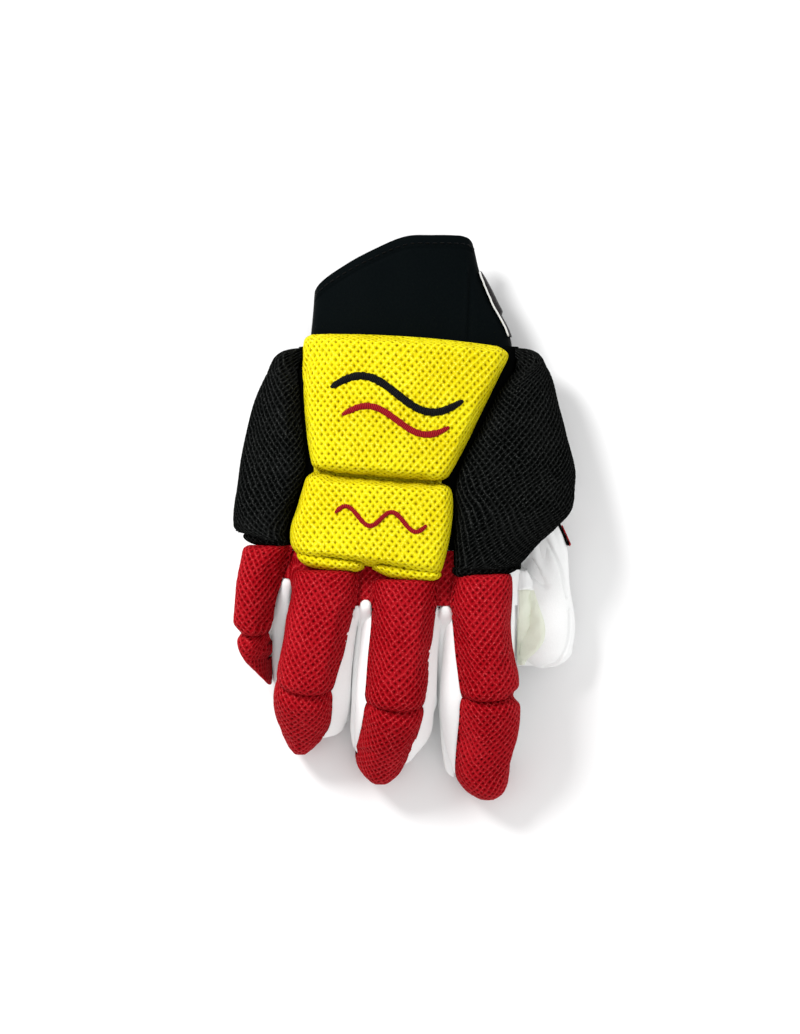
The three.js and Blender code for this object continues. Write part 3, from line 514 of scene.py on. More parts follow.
def cloth_piece(node, place, lift, slot, seed, depth=0.6, soft=0.16, lean=0.0, moves=True):
    """A foam pad in mesh cloth. place gives points from shares and a lift, and lift the foam's height."""
    def outer(s, t):
        return place(s, t, lift(s, t))

    shares_across, shares_along = even_shares(outer, CLOTH_STEP)
    s, t = np.meshgrid(shares_across, shares_along)
    p = outer(s, t)
    normal = normals_of(p)
    side = np.sign(np.sum(normal * (p - place(s, t, np.zeros_like(s)))))
    normal = normal * side
    if moves:
        coarse = np.meshgrid(*even_shares(outer, COVER_STEP))
        move = settled(outer(*coarse), side)
        across = eased_weights(len(shares_across), move.shape[1])
        along = eased_weights(len(shares_along), move.shape[0])
        p = p + np.einsum("ai,ijc,bj->abc", along, move, across)
        normal = normals_of(p) * side
    edge = rounded(np.minimum(inward(s), inward(t)), 0.04)
    p = p + normal * (soft * ripple(p, 17, seed) * edge)[..., None]
    u, v = sheet_coordinates(p, lean)
    wave = ripple(p, 30, seed + 5)
    u = u + 0.5 * wave + 0.26 * ripple(p, 4.2, seed + 3)
    v = v + 0.4 * ripple(p, 26, seed + 9) + 0.26 * ripple(p, 4.2, seed + 4)
    if p[-1, p.shape[1] // 2, 1] > p[0, p.shape[1] // 2, 1]:
        v = -v
    run = np.sign(p[p.shape[0] // 2, -1, 0] - p[p.shape[0] // 2, 0, 0])
    turn = smoothstep(normal[..., 0] * run + 0.25 * ripple(p, 20, seed + 6), -0.5, 0.4)
    net = knit(u, v, *WEAVES[slot], turn)
    pit = 1 - smoothstep(net, 0.0, 0.55)
    relief = depth * (1 - pit * (0.8 + 0.45 * ripple(p, 3.0, seed + 2)) + 0.35 * (net - 1))
    shown = p + normal * ((relief - depth) * edge)[..., None]
    start = shown.shape[0] * shown.shape[1]
    triangles, new = floor_faces(shares_across, shares_along, start)
    under = place(new[:, 0], new[:, 1], np.zeros(len(new)))
    co = np.concatenate([shown.reshape(-1, 3), under])
    faces = [grid_faces(*shown.shape[:2]), triangles]
    pattern = np.zeros((len(co), 3))
    pattern[:start] = np.stack([u, v, turn], -1).reshape(-1, 3)
    name = f"{node}_cloth"
    finished(make_mesh(name, co, faces, MATERIALS[slot], pattern), node)
    SURFACES[name] = p


def is_sheet(outer):
    """Measures the width and length of a piece's face, in metres, and keeps neither."""
    wide, long = (steps(outer, axis).sum(axis).max() / 1000 for axis in (1, 0))


def finished(obj, node=None):
    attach(obj, "root")
    if node:
        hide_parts(node)
    return obj


def slab(name, outer, inner, material, node=None, uv=None, rests_on=None, wrap=False):
    """A closed slab from an outer grid of points and an inner one; its face is measured when it says what it rests
    on.
    """
    rows, columns = outer.shape[:2]
    count = rows * columns
    faces = [grid_faces(rows, columns, wrap=wrap), grid_faces(rows, columns, count, flip=True, wrap=wrap)]
    ring = np.arange(columns)
    faces += [rim(loop, loop + count) for loop in ((ring, count - 1 - ring) if wrap else (border(rows, columns),))]
    u, v = sheet_coordinates(outer) if uv is None else uv
    flat = np.stack([u, v, np.ones_like(u)], -1).reshape(-1, 3)
    obj = make_mesh(name, np.concatenate([outer.reshape(-1, 3), inner.reshape(-1, 3)]), faces,
                    MATERIALS[material], np.concatenate([flat, flat]))
    if rests_on is not None:
        is_sheet(outer)
    return finished(obj, node)


def tube(path, wide, high, around=14, up=(0, 0, 1), power=2.0):
    """Points and faces of a closed tube with rounded ends along a path of points in millimetres."""
    n = len(path)
    tangent = unit(np.gradient(path, axis=0))
    side = unit(np.cross(tangent, up))
    top = np.cross(side, tangent)
    distance = travelled(path)
    radius = np.max(wide)
    cap = rounded(np.minimum(distance, distance[-1] - distance) + radius * 0.05, radius)
    wide, high = wide * cap, high * cap
    angle = np.linspace(0, 2 * np.pi, around, endpoint=False)
    a, b = (k[None, :, None] for k in section(angle, power))
    co = path[:, None] + side[:, None] * a * wide[:, None, None] + top[:, None] * b * high[:, None, None]
    ring, count = np.arange(around), n * around
    faces = [grid_faces(n, around, wrap=True), fan(ring[::-1], count), fan(count - around + ring, count + 1)]
    u = np.repeat(distance, around)
    v = np.tile(angle * wide.max(), n)
    flat = np.stack([u, v, np.ones_like(u)], -1)
    flat = np.concatenate([flat, [[0, 0, 1], [distance[-1], 0, 1]]])
    return np.concatenate([co.reshape(-1, 3), path[:1], path[-1:]]), faces, flat


def tubes(name, parts, material):
    """One object from several tubes."""
    co, faces, flats, start = [], [], [], 0
    for p, quads, flat in parts:
        co.append(p)
        faces += [f + start for f in quads]
        flats.append(flat)
        start += len(p)
    obj = make_mesh(name, np.concatenate(co), faces, MATERIALS[material], np.concatenate(flats))
    return finished(obj)


def resample(line, step):
    """Points evenly spaced along a smooth curve through the given ones."""
    line = np.asarray(line, float)
    at = travelled(line)
    if len(line) > 2:
        curve = Table("x y z"[:2 * line.shape[1] - 1], np.column_stack([line]))
        curve.at = at
        fine = np.linspace(0, at[-1], 40 * len(line))
        found = curve(fine)
        line = np.stack([getattr(found, c) for c in curve.columns], -1)
        at = travelled(line)
    count = max(2, int(round(at[-1] / step)) + 1)
    even = np.linspace(0, at[-1], count)
    return np.stack([np.interp(even, at, line[:, k]) for k in range(line.shape[1])], -1)


def landscape(*grids):
    """A tree of surfaces to look down on, from grids of points in millimetres."""
    co, faces, start = [], [], 0
    for g in grids:
        g = g[np.ix_(*(np.unique(np.append(np.arange(0, n, 3), n - 1)) for n in g.shape[:2]))]
        co += g.reshape(-1, 3).tolist()
        faces += grid_faces(*g.shape[:2], start).tolist()
        start += g.shape[0] * g.shape[1]
    return BVHTree.FromPolygons(co, faces)


def look_down(tree, xy, from_below=False):
    """Points and outward normals where straight lines through xy meet a surface."""
    places, normals = [], []
    way = Vector((0, 0, 1 if from_below else -1))
    for x, y in xy.reshape(-1, 2):
        hit, normal, _, _ = tree.ray_cast(Vector((x, y, -50 if from_below else 150)), way)
        if hit is None:
            hit, normal, _, _ = tree.find_nearest(Vector((x, y, 0 if from_below else 40)))
        if normal.z * way.z > 0:
            normal = -normal
        places.append(tuple(hit))
        normals.append(tuple(normal))
    return [np.array(found).reshape(*xy.shape[:-1], 3) for found in (places, normals)]


def stitch_row(line, outs, long, gap, thick):
    """A row of separate stitches along a line of points, each a little capsule; outs point off the surface."""
    at = travelled(line)
    parts = []
    for start in np.arange(gap / 2, at[-1] - long, long + gap):
        here = np.linspace(start, start + long, 6)
        path = np.stack([np.interp(here, at, line[:, k]) for k in range(3)], -1)
        out = unit(np.array([np.interp(start + long / 2, at, outs[:, k]) for k in range(3)]))
        bow = np.sin(np.linspace(0, np.pi, 6)) * thick * 0.9 - 0.05
        parts.append(tube(path + out * bow[:, None], thick, thick, 6, up=out))
    return parts


def satin(name, tree, xy, half, material, bulge=0.8, sharp=9.0):
    """An embroidered band of satin stitch along a line seen from above, tapered at its ends."""
    line = resample(xy, 0.25)
    at = travelled(line)
    way = unit(np.gradient(line, axis=0))
    side = np.stack([-way[:, 1], way[:, 0]], -1)
    places = np.arange(0, at[-1] + 0.5, 0.45)
    uneven = np.interp(at, places, np.random.default_rng(len(name)).uniform(-1, 1, len(places)))
    taper = 0.25 + 0.75 * rounded(np.minimum(at, at[-1] - at), sharp)
    width = half * taper * (1 + 0.13 * uneven)
    a = np.sin(np.linspace(-np.pi / 2, np.pi / 2, 13))
    xy = line[:, None] + side[:, None] * (width[:, None] * a)[..., None]
    base, normal = look_down(tree, xy)
    ridge = 0.12 * np.sin(2 * np.pi * at / THREAD)[:, None]
    rise = 0.05 + (bulge * taper[:, None] + ridge + 0.08 * uneven[:, None]) * np.sqrt(np.maximum(0, 1 - a ** 2))
    outer = base + normal * rise[..., None]
    u = np.broadcast_to(a * half, outer.shape[:2])
    v = np.broadcast_to(at[:, None], outer.shape[:2])
    slab(name, outer, base - normal * 0.5, material, uv=(u, v))


def grooves(xy, lines):
    """How deep creases press in, seen from above: each line has points, width, depth and how far it dies away."""
    total = np.zeros(xy.shape[:-1])
    for line, width, depth, fade in lines:
        line = resample(line, 1.2)
        near, at = np.full(xy.shape[:-1], 1e9), np.zeros(xy.shape[:-1])
        for n, (a, b) in enumerate(zip(line[:-1], line[1:])):
            d = b - a
            share = np.clip(((xy - a) @ d) / (d @ d), 0, 1)
            gap = np.linalg.norm(xy - (a + share[..., None] * d), axis=-1)
            at = np.where(gap < near, (n + share) / (len(line) - 1), at)
            near = np.minimum(near, gap)
        total += depth * (1 - fade * at ** 1.3) * np.exp(-(near / width) ** 2)
    return total


SURFACES = {}
MATERIALS = {}


# ---- Materials ----
class Shader:
    """Short names for building one material's nodes."""

    def __init__(self, name):
        self.material = bpy.data.materials.new(name)
        self.material.use_nodes = True
        self.tree = self.material.node_tree
        MATERIALS[name] = self.material

    def feed(self, inputs, values):
        """Links or sets a node's inputs, from a dict by their names or from a tuple in their order."""
        for key, value in values.items() if isinstance(values, dict) else enumerate(values):
            if hasattr(value, "is_output"):
                self.tree.links.new(value, inputs[key])
            else:
                inputs[key].default_value = (*value, 1.0) if isinstance(value, tuple) else value

    def node(self, kind, values=(), **settings):
        made = self.tree.nodes.new(kind)
        for key, value in settings.items():
            setattr(made, key, value)
        self.feed(made.inputs, values)
        return made

    def math(self, operation, a, b=0.0, c=0.0):
        return self.node("ShaderNodeMath", (a, b, c), operation=operation).outputs[0]

    def add(self, a, b):
        return self.math("ADD", a, b)

    def times(self, a, b):
        return self.math("MULTIPLY", a, b)

    def pattern(self):
        found = self.node("ShaderNodeAttribute", attribute_name="pattern").outputs["Vector"]
        return self.node("ShaderNodeSeparateXYZ", (found,)).outputs

    def place(self):
        return self.node("ShaderNodeTexCoord").outputs["Object"]

    def noise(self, scale, detail, roughness=0.6):
        return self.node("ShaderNodeTexNoise", {"Vector": self.place(), "Scale": scale, "Detail": detail,
                                                "Roughness": roughness}).outputs["Fac"]

    def ramp(self, value, low, high, out_low=0.0, out_high=1.0):
        return self.node("ShaderNodeMapRange", (value, low, high, out_low, out_high),
                         interpolation_type="SMOOTHSTEP").outputs["Result"]

    def mix(self, share, a, b):
        return self.node("ShaderNodeMix", {"Factor": share, "A": a, "B": b}, data_type="RGBA").outputs["Result"]

    def bump(self, height, distance, strength):
        return self.node("ShaderNodeBump", {"Strength": strength, "Distance": distance,
                                            "Height": height}).outputs["Normal"]

    def set(self, **values):
        names = {"color": "Base Color", "specular": "Specular IOR Level", "ior": "IOR"}
        self.feed(self.tree.nodes["Principled BSDF"].inputs,
                  {names.get(key, key.title()): value for key, value in values.items()})


def mesh_cloth(name, strand, light, hole, glint, specular, crest_highlight, open_to, ior=1.45):
    """Spacer mesh over foam: strands, holes darkened with painted shade, painted highlights and glints on the
    strands, and a little unevenness of dye and wear.
    """
    m = Shader(name)
    u, v, turn = m.pattern()
    pitch, row = WEAVES[name]
    across = m.times(u, 2 * math.pi / pitch)
    along = m.times(v, math.pi / row)
    net = m.math("MINIMUM",
                 m.times(m.math("COSINE", m.add(across, along)), m.math("MULTIPLY_ADD", turn, 0.35, 0.65)),
                 m.times(m.math("COSINE", m.math("SUBTRACT", across, along)),
                         m.math("MULTIPLY_ADD", turn, -0.35, 1.0)))
    yarn = m.noise(1400, 2.0, 0.7)
    uneven = m.noise(330, 2.0, 0.6)
    stray = m.add(m.times(yarn, 0.5), m.times(uneven, 0.9))
    hole_share = m.ramp(m.add(net, stray), open_to - 0.35, open_to + 0.7)
    patchy = m.ramp(m.noise(55, 3.0, 0.6), 0.3, 0.75)
    color = m.mix(patchy, strand, light)
    twist = m.math("SINE", m.times(m.add(u, v), 2 * math.pi / 0.62))
    ridge = m.math("SUBTRACT", m.add(m.times(twist, 0.12), m.times(yarn, 0.9)), net)
    # Painted highlight: the tops of the strands are painted lighter.
    color = m.mix(m.ramp(ridge, 0.95, 1.65, 0.0, crest_highlight), color, tuple(min(1, x * 1.7 + 0.012) for x in light))
    # Painted glints: small pale specks on the strand tops.
    spark = m.times(m.ramp(m.noise(1900, 1.0, 0.5), 0.56, 0.68), m.ramp(ridge, 0.7, 1.3, 0.0, 0.75))
    color = m.mix(spark, color, glint)
    # The holes are real openings in the knit. The dark colour mixed into them is painted shade of the depth below
    # the mesh.
    color = m.mix(hole_share, color, hole)
    height = m.add(m.times(net, -0.6), m.add(m.times(twist, 0.12), m.times(yarn, 0.5)))
    m.set(color=color, roughness=0.62, normal=m.bump(height, 0.00022, 0.8), specular=specular, ior=ior)


def leather_look(name, base, shade, roughness=0.5):
    m = Shader(name)
    grain = m.noise(900, 3.0, 0.6)
    soft = m.noise(30, 3.0, 0.55)
    color = m.mix(m.ramp(soft, 0.3, 0.75), base, shade)
    color = m.mix(m.ramp(grain, 0.2, 0.8, 0.0, 0.12), color, tuple(x * 0.82 for x in base))
    pores = m.node("ShaderNodeTexVoronoi", {"Vector": m.place(), "Scale": 1300}, feature="F1")
    height = m.add(m.times(pores.outputs["Distance"], 0.5), m.times(soft, 1.5))
    m.set(color=color, roughness=m.ramp(grain, 0.2, 0.8, roughness - 0.05, roughness + 0.08),
          normal=m.bump(height, 0.00018, 0.5), specular=0.35)


def smooth_cloth(name, base, light, rib, roughness=0.55, specular=0.1, ior=1.45):
    """Finely knitted cloth with ribs."""
    m = Shader(name)
    u, v, _ = m.pattern()
    ribs = m.math("SINE", m.times(u, 2 * math.pi / rib))
    loops = m.math("SINE", m.times(v, 2 * math.pi / (rib * 0.8)))
    weave = m.times(ribs, loops)
    fuzz = m.noise(1500, 2.0, 0.7)
    color = m.mix(m.ramp(m.add(m.times(weave, 0.25), fuzz), 0.2, 0.9), base, light)
    height = m.add(m.times(weave, 0.5), fuzz)
    m.set(color=color, roughness=roughness, normal=m.bump(height, 0.00012, 0.5), specular=specular, ior=ior)


def thread_look(name, base, light, roughness=0.38):
    """Satin-stitched thread; the pattern runs along u, with one thread after another along v."""
    m = Shader(name)
    u, v, _ = m.pattern()
    threads = m.math("SINE", m.times(v, 2 * math.pi / THREAD))
    fuzz = m.noise(1800, 2.0, 0.7)
    # Painted sheen and shade: each thread is lighter along its top and darker between threads. The fuzz noise is
    # random tone.
    share = m.ramp(m.add(threads, m.times(fuzz, 1.2)), -0.6, 1.8)
    m.set(color=m.mix(share, base, light), roughness=roughness, specular=0.12,
          normal=m.bump(m.add(threads, fuzz), 0.0002, 0.9))


mesh_cloth("yellow_mesh", (0.60, 0.48, 0.0), (0.68, 0.59, 0.004), (0.17, 0.11, 0.0), (0.95, 0.90, 0.12),
           specular=0.04, crest_highlight=0.4, open_to=0.98)
mesh_cloth("red_mesh", (0.24, 0.0, 0.003), (0.33, 0.004, 0.009), (0.06, 0.0, 0.0), (0.62, 0.07, 0.075),
           specular=0.03, crest_highlight=0.6, open_to=0.98)
mesh_cloth("black_mesh", (0.0015, 0.0019, 0.0017), (0.0044, 0.0049, 0.0046), (0.0, 0.0, 0.0), (0.05, 0.052, 0.05),
           specular=0.0, crest_highlight=0.6, open_to=0.9, ior=1.12)
smooth_cloth("black_fabric", (0.0012, 0.0014, 0.0014), (0.003, 0.0034, 0.0034), 1.2, specular=0.0, ior=1.15)
smooth_cloth("cuff", (0.0016, 0.0026, 0.003), (0.003, 0.0044, 0.0048), 0.7, roughness=0.4, specular=0.02, ior=1.2)
leather_look("white_leather", (0.945, 0.95, 0.945), (0.915, 0.92, 0.915))
leather_look("cream_leather", (0.81, 0.83, 0.70), (0.76, 0.79, 0.66), 0.42)
smooth_cloth("strap", (0.012, 0.012, 0.013), (0.035, 0.03, 0.031), 1.5)
thread_look("black_thread", (0.0009, 0.0011, 0.0014), (0.006, 0.0065, 0.008))
thread_look("red_thread", (0.17, 0.003, 0.006), (0.42, 0.012, 0.02))
thread_look("white_thread", (0.65, 0.65, 0.62), (0.9, 0.9, 0.88), 0.6)


# ---- Back pads ----
def back_pad(node, rows, seed):
    last = len(rows.at) - 1

    def place(s, t, lift):
        p = rows(t * last)
        x = lerp(p.left_x, p.right_x, s)
        y = lerp(p.left_y, p.right_y, s) + p.bow * 4 * s * (1 - s)
        return points(x, y, deck(x, y) + PAD_GAP + lift)

    def lift(s, t):
        p = rows(t * last)
        side = inward(s) * (p.right_x - p.left_x)
        first, end = rows(0.0), rows(float(last))
        low = lerp(first.left_y, first.right_y, s)
        high = lerp(end.left_y, end.right_y, s)
        y = lerp(p.left_y, p.right_y, s)
        ends = np.minimum(y - low, high - y)
        puff = rounded(side, 5.5) * rounded(ends, 5.0)
        return 0.3 + (BACK_FOAM - 1.3) * puff + 1.4 * np.sin(np.pi * s) * np.sin(np.pi * t) * puff

    cloth_piece(node, place, lift, "yellow_mesh", seed, lean=1.0)


for n, (node, rows) in enumerate(BACK_PADS.items()):
    back_pad(node, rows, 11 + n)


# ---- Side pads ----
def side_pad(node, side, rows, seed):
    last = len(rows.at) - 1

    def from_side(angle):
        return angle if side > 0 else math.pi - angle

    def place(s, t, lift):
        p = rows(t * last)
        outer = from_side(np.radians(p.outer))
        inner = from_side(np.maximum(math.radians(20), from_side(angle_over(p.inner_x, p.inner_y))))
        return hand_point(lerp(inner, outer, s), lerp(p.inner_y, p.outer_y, s), PAD_GAP + lift)

    shares, middle = np.linspace(0, 1, 60), np.full(60, 0.5)
    width, length = steps(place(shares, middle, 0.0)).sum(), steps(place(middle, shares, 0.0)).sum()

    def lift(s, t):
        puff = rounded(inward(s) * width, 7.5) * rounded(inward(t) * length, 6.5)
        crown = np.sin(np.pi * s) ** 0.7 * np.sin(np.pi * t) ** 0.5
        return 0.3 + (SIDE_FOAM - 0.8) * puff + 0.8 * crown * puff

    cloth_piece(node, place, lift, "black_mesh", seed)


for n, (node, (side, rows)) in enumerate(SIDE_PADS.items()):
    side_pad(node, side, rows, 31 + n)


# ---- Tabs ----
def tab(node, slot, foam, rows, seed):
    first, last = rows.at[0], rows.at[-1]

    def place(s, t, lift):
        x = lerp(first, last, s)
        edges = rows(x)
        y = lerp(edges.rear, edges.front, t)
        return hand_point(angle_over(x, y), y, PAD_GAP + lift)

    def lift(s, t):
        puff = rounded(inward(s) * (last - first), 4.0) * np.sin(np.pi * (0.2 + 0.8 * t)) ** 0.5
        return 0.3 + (foam - 0.3) * puff

    cloth_piece(node, place, lift, slot, seed, depth=0.4, soft=0.3, moves=False)


for n, (node, facts) in enumerate(TABS.items()):
    tab(node, *facts, 51 + n)


# ---- Fingers ----
def middle_line(s):
    return points((s.left + s.right) / 2, s.y, s.z)


def digit_frame(digit, row):
    """Where a finger's middle is at a row of its table, which way it runs, and its half sizes."""
    at, last = digit.at, len(digit.at.at) - 1
    here = at(row)
    tangent = unit(middle_line(at(np.minimum(row + 0.05, last))) - middle_line(at(np.maximum(row - 0.05, 0))))
    if digit.start > 0:
        level = smoothstep(row, digit.start + 0.5, digit.start)[..., None]
        tangent = unit(lerp(tangent, np.array([0.0, -1.0, 0.0]), level))
    lateral = unit(np.array([1.0, 0.0, 0.0]) - tangent * tangent[..., :1])
    turn = -math.radians(digit.lean)
    lateral = lateral * math.cos(turn) + np.cross(tangent, lateral) * math.sin(turn)
    up = np.cross(tangent, lateral)
    return SimpleNamespace(
        origin=middle_line(here), tangent=tangent, lateral=lateral, up=up, half_height=here.half,
        middle=(here.roll_left + here.roll_right - here.left - here.right) / 2,
        half_width=(here.right - here.left) / 2, roll_half=(here.roll_right - here.roll_left) / 2,
    )


def placed(f, u, v, t=0.0):
    t = np.broadcast_to(t, np.shape(u))
    return f.origin + f.lateral * u[..., None] + f.up * v[..., None] + f.tangent * t[..., None]


def stall_top(f, u):
    share = np.minimum(1, np.abs(u) / (f.half_width + 2 * GAP))
    return (f.half_height + GAP) * (1 - share ** DIGIT_POWER) ** (1 / DIGIT_POWER)


def roll_shape(digit, first, last, foam, turned):
    """place and lift of a foam roll over a finger's stall; turned is how far it swings round the fingertip."""
    seat, rim = 2.5, 0.3
    radius, pinch = ((4.0, 7.0), (0.15, 0.06)) if turned else ((2.8, 4.0), (0.05, 0.15))
    probe = digit_frame(digit, np.linspace(first, last, 40))
    length = steps(probe.origin).sum()
    shaft = length / (length + math.radians(turned) * 14) if turned else 1.0

    def ends(t):
        whole = length / shaft
        return rounded(t * whole, radius[0]), rounded((1 - t) * whole, radius[1])

    def place(s, t, lift):
        is_outer = np.ndim(lift) > 0 and not np.all(lift == 0)
        row = lerp(first, last, np.clip(t / shaft, 0, 1))
        turn = np.radians(turned) * np.clip((t - shaft) / max(1e-6, 1 - shaft), 0, 1)
        f = digit_frame(digit, row)
        start, end = ends(t)
        fade = 1 - np.maximum(0, np.degrees(turn) - 90) / 220
        fade = fade * (1 - pinch[0] * (1 - start) - pinch[1] * (1 - end))
        angle = np.pi * (1 - s)
        crown = f.half_height + GAP + rim + foam * lift
        u = f.middle + f.roll_half * fade * signed_power(np.cos(angle), 0.85)
        floor = np.maximum(seat, stall_top(f, u))
        v = np.maximum(floor + rim * 0.7, seat + (crown - seat) * np.sin(angle) ** 0.8) if is_outer else floor
        stretch = (digit.tip + GAP) / (f.half_height + GAP)
        p = placed(f, u, v * np.cos(turn), v * stretch * np.sin(turn))
        low = hand_top(p[..., 0], np.clip(p[..., 1], -39, 0)) + PAD_GAP + (rim if is_outer else 0)
        p[..., 2] = np.where(p[..., 1] > FRONT_Y - 1, np.maximum(p[..., 2], low), p[..., 2])
        return p

    def lift(s, t):
        start, end = ends(t)
        return start * end

    return place, lift


def fitted(name, shapes):
    """Moves two rolls' points so that their outline from above is the one in the photograph."""
    crease, tip, edges = EDGES[name]
    s, t = np.meshgrid(np.linspace(0, 1, 70), np.linspace(0, 1, 260))
    p = np.concatenate([place(s, t, lift(s, t)).reshape(-1, 3) for place, lift in shapes])
    low = p[:, 1].min()
    rows = [low + d for d in (0.15, 0.5, 1.1, 2, 3.2, 4.8, 7)]
    rows += [y for y in np.arange(low + 9, p[:, 1].max() - 1, 1.2) if abs(y - crease) > 5]
    found = []
    for y in rows:
        near = p[np.abs(p[:, 1] - y) < min(0.8, 0.1 + (y - low) / 3)]
        found.append((y, near[:, 0].min(), near[:, 0].max()))
    raw = np.array(found)
    scale = (tip - crease) / (low - crease)

    def fit(q):
        y = q[..., 1]
        left, right = (np.interp(y, raw[:, 0], raw[:, k]) for k in (1, 2))
        share = np.clip((q[..., 0] - left) / (right - left), -0.1, 1.1)
        y = np.where(y < crease, crease + (y - crease) * scale, y)
        want = edges(y)
        z = CLOTH_LOW + np.logaddexp(0, (q[..., 2] - CLOTH_LOW) * 1.5) / 1.5
        return points(lerp(want.left, want.right, share), y, z)

    return fit


def roll(node, shape, fit, seed, creases=()):
    place, lift = shape

    def creased(s, t, up):
        p = fit(place(s, t, up))
        if np.ndim(up) > 0:
            p[..., 2] -= grooves(p[..., :2], creases) * np.clip(up * 2, 0, 1)
        return p

    cloth_piece(node, creased, lift, "red_mesh", seed, depth=0.45)


def stall(digit, node, seed, first=1, around=72, rows=52, creases=(), slim=0.0):
    """A leather tube, open at its base, with its lining."""
    last = len(digit.at.at) - 1

    def rings(inset, rows, dome):
        row = np.concatenate([np.linspace(first, last, rows), np.full(dome, last)])
        swing = np.concatenate([np.zeros(rows), (np.arange(dome) + 1) / (dome + 0.6) * math.pi / 2])
        angle = np.linspace(0, 2 * np.pi, around, endpoint=False)
        angle, row = np.meshgrid(angle, row)
        swing = np.broadcast_to(swing[:, None], angle.shape)
        f = digit_frame(digit, row)
        shrink = np.cos(swing)
        across, up = section(angle, DIGIT_POWER)
        u, v = (f.half_width - inset - slim) * across * shrink, (f.half_height - inset) * up * shrink
        return placed(f, u, v, (digit.tip - inset) * np.sin(swing)), angle

    outer, angle = rings(0.0, rows, max(16, rows // 6))
    inner, _ = rings(LEATHER, 24, 5)
    normal = normals_of(outer, wrap=True)
    if np.sum(normal * (outer - outer.mean(1, keepdims=True))) < 0:
        normal = -normal
    push = 0.35 * ripple(outer * [1, 0.5, 1], 14, seed) - 0.3
    for seam in (0.0, np.pi):
        off = np.abs((angle - seam + np.pi) % (2 * np.pi) - np.pi)
        push = push - 0.4 * np.exp(-(off / 0.07) ** 2) + 0.18 * np.exp(-((off - 0.2) / 0.12) ** 2)
    push = push - grooves(outer[..., :2], creases) * smoothstep(normal[..., 2], -0.1, 0.25)
    outer = outer + normal * push[..., None]
    a, b = outer.shape[0] * around, inner.shape[0] * around
    co = np.concatenate([outer.reshape(-1, 3), inner.reshape(-1, 3), [outer[-1].mean(0), inner[-1].mean(0)]])
    ring = np.arange(around)
    faces = [grid_faces(outer.shape[0], around, wrap=True),
             grid_faces(inner.shape[0], around, a, flip=True, wrap=True), rim(ring, a + ring),
             fan(a - around + ring, a + b), fan(a + b - 1 - ring, a + b + 1)]
    SURFACES[node] = outer
    finished(make_mesh(f"{node}_leather", co, faces, MATERIALS["white_leather"]), node)


LITTLE_CREASES = [([(-58.2, -54.0), (-60.6, -55.6), (-64.4, -58.6)], 0.7, 1.5, 0.8)]
for n, (name, digit) in enumerate(DIGITS.items()):
    if name == "thumb":
        continue
    last = len(digit.at.at) - 1
    upper = roll_shape(digit, 0.0, digit.crease + 0.02, ROLL_FOAM, 0)
    tip = roll_shape(digit, digit.crease - 0.035, last, TIP_FOAM, 128)
    fit = fitted(name, (upper, tip))
    roll(f"{name}_upper_roll", upper, fit, 71 + n)
    roll(f"{name}_tip_roll", tip, fit, 81 + n, LITTLE_CREASES if name == "little" else ())
    stall(digit, f"{name}_stall", 91 + n, slim=1.1 if name == "little" else 0.3)
stall(DIGITS["thumb"], "thumb_stall", 97, first=0.7, around=136, rows=112, creases=[
    ([(60.5, -7.6), (62.6, -10.7), (65.2, -15), (68.5, -21.9), (70, -28.3), (71.6, -34.8)], 0.55, 1.5, 0),
    ([(72.6, -40), (72.8, -46), (72.2, -53), (70.4, -58.8), (66.8, -63.6), (61, -66)], 0.5, 1.1, 0),
    ([(53.6, -20.6), (55.6, -23.0), (58.4, -26.0), (63.0, -31.0)], 1.7, 5.4, 1),
    ([(53.4, -20.2), (58.6, -25.4)], 2.6, 3.6, 1),
    ([(60.6, -11.0), (61.0, -18), (62.4, -27)], 2.8, 1.9, 1),
    ([(65.6, -3.4), (67.4, -9), (70.2, -18)], 2.2, 1.7, 1),
])


